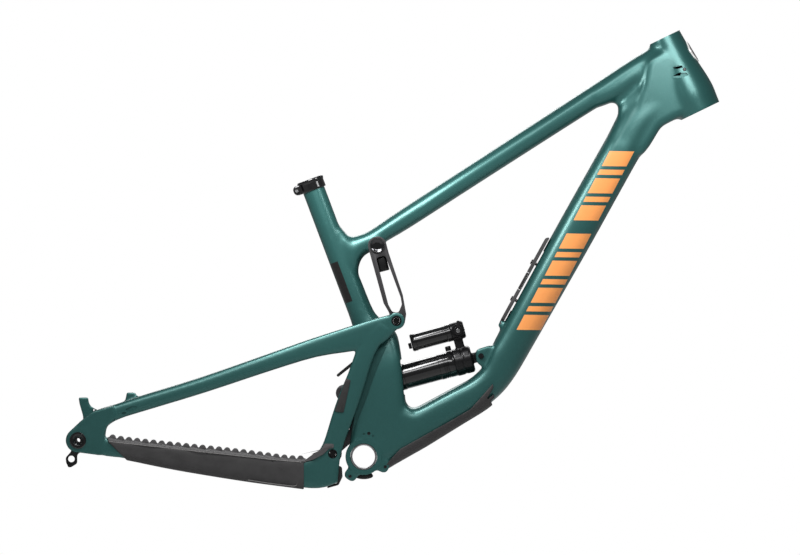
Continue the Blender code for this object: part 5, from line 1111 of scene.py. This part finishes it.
fitting("upper_link", linkArms(), forgedAlloy)
linkSlope = math.degrees(math.atan2((swingPivot - upperPivot).y, (swingPivot - upperPivot).x))
bridge = joined([block(linkTrack(28.5, 0.9), 0, (21, 66, 13.2), linkSlope, 2.4, 3),
                 block(linkTrack(28.5, 0.9), 0, (24, 56.4, 16.4), linkSlope, 1.5, 3)])
asPiece("link_bridge", bridge, satinBlack, "upper_rocker", [])
centre, half, low, high = extent("upper_frame_axle")
fitting("upper_frame_axle", turned([(0, low), (half - 0.6, low), (half, low + 0.6), (half, high - 0.6),
                                    (half - 0.6, high),
                                    (0, high)], lift(centre), across, 64), turnedSteel)
for label, side in sides:
    cap = [(0, 37.5), (10.8, 37.5), (10.8, 40.2), (10.3, 40.9), (9.7, 40.9), (9.2, 40.6), (5.9, 38.9),
           (0, 38.9)]
    hexTool = turned([(0, 37.8), (5.2, 37.8), (5.2, 44), (0, 44)], lift(upperPivot), across * side, 6)
    fitting(f"upper_axle_cap_{label}", carved(meshOf(turned(cap, lift(upperPivot), across * side, 96)),
                                              [hexTool]),
            polishedBlack)
    pin = [(0, 29), (5.1, 29), (5.1, 43.2), (4.6, 44), (0, 44)]
    socket = turned([(0, 39.5), (2.9, 39.5), (2.9, 50), (0, 50)], lift(swingPivot), across * side, 6)
    fitting(f"swing_bolt_{label}", carved(meshOf(turned(pin, lift(swingPivot), across * side, 64)),
                                          [socket]), glossBlack)
    # a slim washer that frames each bolt in the swingarm
    asPiece(f"swing_washer_{label}", turned([(5.3, 47.1), (7.7, 47.1), (7.7, 48.3), (7.2, 48.8),
                                             (5.7, 48.8), (5.3, 48.4)],
                                            lift(swingPivot), across * side, 64), satinBlack,
            "rear_swingarm", [])
    asPiece(f"lower_washer_{label}", turned([(5.3, 47.2), (7.0, 47.2), (7.0, 48.4), (6.6, 48.8),
                                             (5.7, 48.8), (5.3, 48.4)],
                                            lift(chainPivot), across * side, 64), satinBlack,
            "rear_swingarm", [])


def boltThrough(place, radius, end, socketRadius, deep):
    shank = meshOf(turned([(0, -end), (radius - 0.5, -end), (radius, -end + 0.5), (radius, end - 0.5),
                           (radius - 0.5, end),
                           (0, end)], lift(place), across, 64))
    return carved(shank, [turned([(0, end - deep), (socketRadius, end - deep), (socketRadius, end + 9),
                                  (0, end + 9)],
                                 lift(place), across * side, 6) for side in (1, -1)])


fitting("lower_swing_axle", boltThrough(chainPivot, 5.0, 44.0, 2.9, 4.5), glossBlack)
centre, half, low, high = extent("lower_frame_axle")
fitting("lower_frame_axle", turned([(0, low), (half - 0.6, low), (half, low + 0.6), (half, high - 0.5),
                                    (half - 0.5, high),
                                    (3.2, high), (3.0, high - 0.3), (3.0, high - 5), (0, high - 5)],
                                   lift(centre), across, 64),
        turnedSteel)
easedNode("lower_link", forgedAlloy, 0.8, 2)
print("linkage made")


# rear axle and hanger

easedNode("derailleur_hanger", satinBlack, 0.6, 2)
axleEnd = dropoutOuter
fitting("rear_axle", turned([(3.4, -axleEnd + 1), (5.6, -axleEnd + 1), (6.0, -axleEnd + 1.4),
                             (6.0, axleEnd - 2.9),
                             (9.0, axleEnd - 2.9), (9.0, axleEnd + 0.6), (8.0, axleEnd + 1.6),
                             (4.0, axleEnd + 1.6),
                             (3.4, axleEnd + 1.0)], lift(rearAxle), across, 64), satinBlack)
fitting("hanger_bolt", turned([(6.3, 75), (8.5, 75), (8.5, 84.8), (12.2, 84.8), (12.6, 85.2),
                               (12.6, 86.0), (11.6, 87.1),
                               (8.0, 87.2), (7.4, 86.9), (6.9, 86.0), (6.3, 85.6)], lift(rearAxle),
                              -across, 96), glossBlack)


# shock

shockAxis = lift(-shockAlong).normalized()
shockUp = lift(leftOf(shockAlong)).normalized()
shockSize = {"can": 20.0, "head": 21.0, "stanchion": 12.0, "rise": 47.0, "canEnd": 138.0}


def alongShock(profile, origin=None, steps=96):
    return turned(profile, lift(shockFront if origin is None else origin), shockAxis, steps)


def airCan():
    can, inner, end = shockSize["can"], shockSize["stanchion"] + 0.3, shockSize["canEnd"]
    profile = [(inner, 42), (can - 0.4, 42), (can, 42.6)]
    for groove in (52, 55.2, 58.4):
        profile += [(can, groove - 0.8), (can - 0.7, groove - 0.4), (can - 0.7, groove + 0.4),
                    (can, groove + 0.8)]
    profile += [(can, 66), (can - 0.6, 66.5), (can - 0.6, 122), (can, 122.5), (can, 131), (can - 0.5, 132),
                (can - 1.2, 134.5), (can - 2.8, 137.2), (can - 5, end + 0.9), (inner + 1.6, end + 0.9),
                (inner, end - 0.2)]
    return alongShock(profile)


def shockHead():
    radius, rise = shockSize["head"], shockSize["rise"]
    body = alongShock([(0, 13.5), (radius - 3.4, 13.5), (radius - 0.6, 15.4), (radius, 17), (radius, 26),
                       (radius - 0.9, 26.6),
                       (radius - 0.9, 29.4), (radius, 30), (radius, 40.4), (radius - 1.5, 42.4), (0, 42.4)])
    eye = bar(shockFront, 9.8, -13.5, 13.5, 64)
    stem = block(onShock(9, 0), 0, (14, 25, 16), angles["shock"], 2.5)
    neck = block(onShock(27.5, -rise * 0.52), 0, (14, 17, 26), angles["shock"], 3)
    bridge = turned([(0, -8), (11.6, -8), (13.4, -6.4), (13.8, -5), (13.8, 12.4), (13.2, 13.1), (0, 13.1)],
                    lift(onShock(22, -rise)), shockAxis, 72)
    whole = fused([body, eye, stem, neck, bridge], 0.9, 2)
    return carved(whole, [bar(shockFront, 7.1, -40, 40)])


fitting("shock_air_can", airCan(), glossBlack)
fitting("shock_head", shockHead(), satinBlack, None, 40)
rise = shockSize["rise"]
fitting("shock_reservoir", alongShock([(0, 12.8), (12.8, 12.8), (13.5, 13.6), (13.5, 20), (12.9, 20.5),
                                       (12.9, 68),
                                       (13.5, 68.5), (13.5, 74.6), (12.9, 75.9), (11.9, 76.6),
                                       (6.4, 76.6), (6.0, 76.2),
                                       (0, 76.2)], onShock(22, -rise)), glossBlack)
fitting("reservoir_valve_cap", alongShock([(0, 0), (4.4, 0), (4.6, 0.3), (4.6, 3.6), (4.2, 4.4),
                                           (3.6, 4.8), (0, 4.8)],
                                          onShock(98.9, -rise + 3.5), 48), satinBlack)
dialPlace = onShock(24, -rise)
dial = meshOf(turned([(3.0, 14.1), (10.5, 14.1), (10.5, 17.4), (10.1, 18.1), (9.4, 18.7), (4.6, 18.7),
                      (3.4, 18.3), (3.0, 17.7)],
                     lift(dialPlace), -across, 96))
notches = [bar(dialPlace + aim(angle) * 11.0, 1.1, -19.5, -13.5, 16) for angle in range(0, 360, 20)]
fitting("compression_dial", carved(dial, notches), satinBlack)
easedNode("compression_lever", satinBlack, 0.5, 2)
asPiece("lever_boss", turned([(0, 21.4), (3.0, 21.4), (3.0, 21.9), (2.6, 22.2), (0, 22.2)],
                             lift(dialPlace), -across, 48),
        turnedSteel, bodyOf["compression_lever"], [])
valve = onShock(46, -shockSize["can"] + 1)
fitting("air_valve_cap", turned([(0, 1.5), (4.2, 1.5), (4.4, 1.8), (4.4, 7.5), (4.0, 8.4), (3.4, 9.0),
                                 (0, 9.0)], lift(valve),
                                shockUp, 48), satinBlack)
eyeFace = lengths["shock"] - 13 - 10
fitting("shock_stanchion", alongShock([(0, 122), (10.8, 122), (12, 123), (12, eyeFace), (0, eyeFace)]),
        turnedSteel)
easedNode("shock_rear_eye", satinBlack, 0.7, 2)
fitting("travel_ring", alongShock([(12.3, 141), (13.8, 141), (14.2, 141.6), (14.2, 142.8), (13.8, 143.4),
                                   (12.3, 143.4)]),
        redRubber)
knob = meshOf(turned([(0, 0.3), (4.2, 0.3), (4.6, 0.9), (4.6, 3.3), (4.1, 4.0), (3.4, 4.2), (0, 4.2)],
                     lift(onShock(eyeFace + 5, -14.5)), shockUp, 64))
fitting("rebound_knob", knob, redAnodised)
fitting("shock_front_bolt", turned([(0, -26.5), (3.6, -26.5), (4, -26.1), (4, 23.3), (6.3, 23.3),
                                    (6.5, 23.6), (6.5, 25.4),
                                    (5.5, 26.5), (2.7, 26.5), (2.5, 26.2), (2.5, 24), (0, 24)],
                                   lift(shockFront), across, 64),
        glossBlack)
centre, half, low, high = extent("shock_rear_bolt")
fitting("shock_rear_bolt", turned([(0, low), (half - 0.4, low), (half, low + 0.4), (half, high - 0.4),
                                   (half - 0.4, high),
                                   (0, high)], lift(centre), across, 64), turnedSteel)
guideScrews = [turned([(0, 30.2), (2.55, 30.2), (2.55, 34.6), (1.5, 34.6), (1.5, 33), (0, 33)],
                      lift(aim(angle) * guideTabs["circle"]), -across, 32) for angle in guideTabs["angles"]]
asPiece("guide_inserts", joined(guideScrews), blackRubber, "main_frame", [])
print("shock made")

bySlot = {"green_carbon": greenSwing, "dark_alloy": forgedAlloy, "black_alloy": satinBlack,
          "bright_steel": turnedSteel,
          "grey_rubber": guardRubber, "black_rubber": blackRubber, "white_plate": platePaint,
          "red_anodised": redAnodised}
for node, item in frame["nodes"].items():
    item.data.materials.clear()
    item.data.materials.append(bySlot[slotOf[node]])

# stage

floor = holder(slab(outlineOf([(-9000, -420), (9000, -420), (9000, -410), (-9000, -410)]), -9000, 9000),
               "studio_floor")
floorFinish = Finish("pale_floor", Base_Color=(0.93, 0.93, 0.93, 1), Roughness=0.7)
floor.data.materials.append(floorFinish.material)
floor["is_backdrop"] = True

world = bpy.data.worlds.new("studio")
bpy.context.scene.world = world
world.use_nodes = True
tree = world.node_tree
background = tree.nodes["Background"]
seen = tree.nodes.new("ShaderNodeBackground")
seen.inputs["Color"].default_value = (1, 1, 1, 1)
background.inputs["Color"].default_value = (1, 1, 1, 1)
background.inputs["Strength"].default_value = 0.15
choose, path = tree.nodes.new("ShaderNodeMixShader"), tree.nodes.new("ShaderNodeLightPath")
tree.links.new(path.outputs["Is Camera Ray"], choose.inputs[0])
tree.links.new(background.outputs[0], choose.inputs[1])
tree.links.new(seen.outputs[0], choose.inputs[2])
tree.links.new(choose.outputs[0], tree.nodes["World Output"].inputs[0])


def softbox(name, place, target, size, power):
    light = bpy.data.lights.new(name, "AREA")
    light.shape, light.size, light.size_y, light.energy = "RECTANGLE", size[0], size[1], power
    lamp = bpy.data.objects.new(name, light)
    lamp.location = place
    lamp.rotation_euler = (Vector(target) - Vector(place)).to_track_quat("-Z", "Y").to_euler()
    bpy.context.scene.collection.objects.link(lamp)


softbox("key", (-0.2, -2.6, 1.9), (0.1, 0, 0.25), (2.4, 0.5), 34)
softbox("head", (0.50, -0.45, 0.72), (0.45, 0, 0.55), (0.25, 0.25), 1.9)
softbox("seat", (-0.12, -0.32, 0.62), (-0.06, 0, 0.36), (0.2, 0.2), 2.9)
softbox("back", (0.2, 2.4, 1.6), (0.1, 0, 0.3), (2.0, 1.0), 24)

view = {"lens": 1000, "width": 1.232, "centre": (0.0559, 0.2758)}
camera = bpy.data.cameras.new("camera")
camera.lens, camera.sensor_width = view["lens"], 36
camera.clip_end = 200
cameraObject = bpy.data.objects.new("camera", camera)
cameraObject.location = (view["centre"][0], -view["width"] * view["lens"] / 36, view["centre"][1])
cameraObject.rotation_euler = (math.pi / 2, 0, 0)
bpy.context.scene.collection.objects.link(cameraObject)
bpy.context.scene.camera = cameraObject
bpy.context.scene.view_settings.view_transform = "Standard"
print("stage set")

low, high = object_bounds()
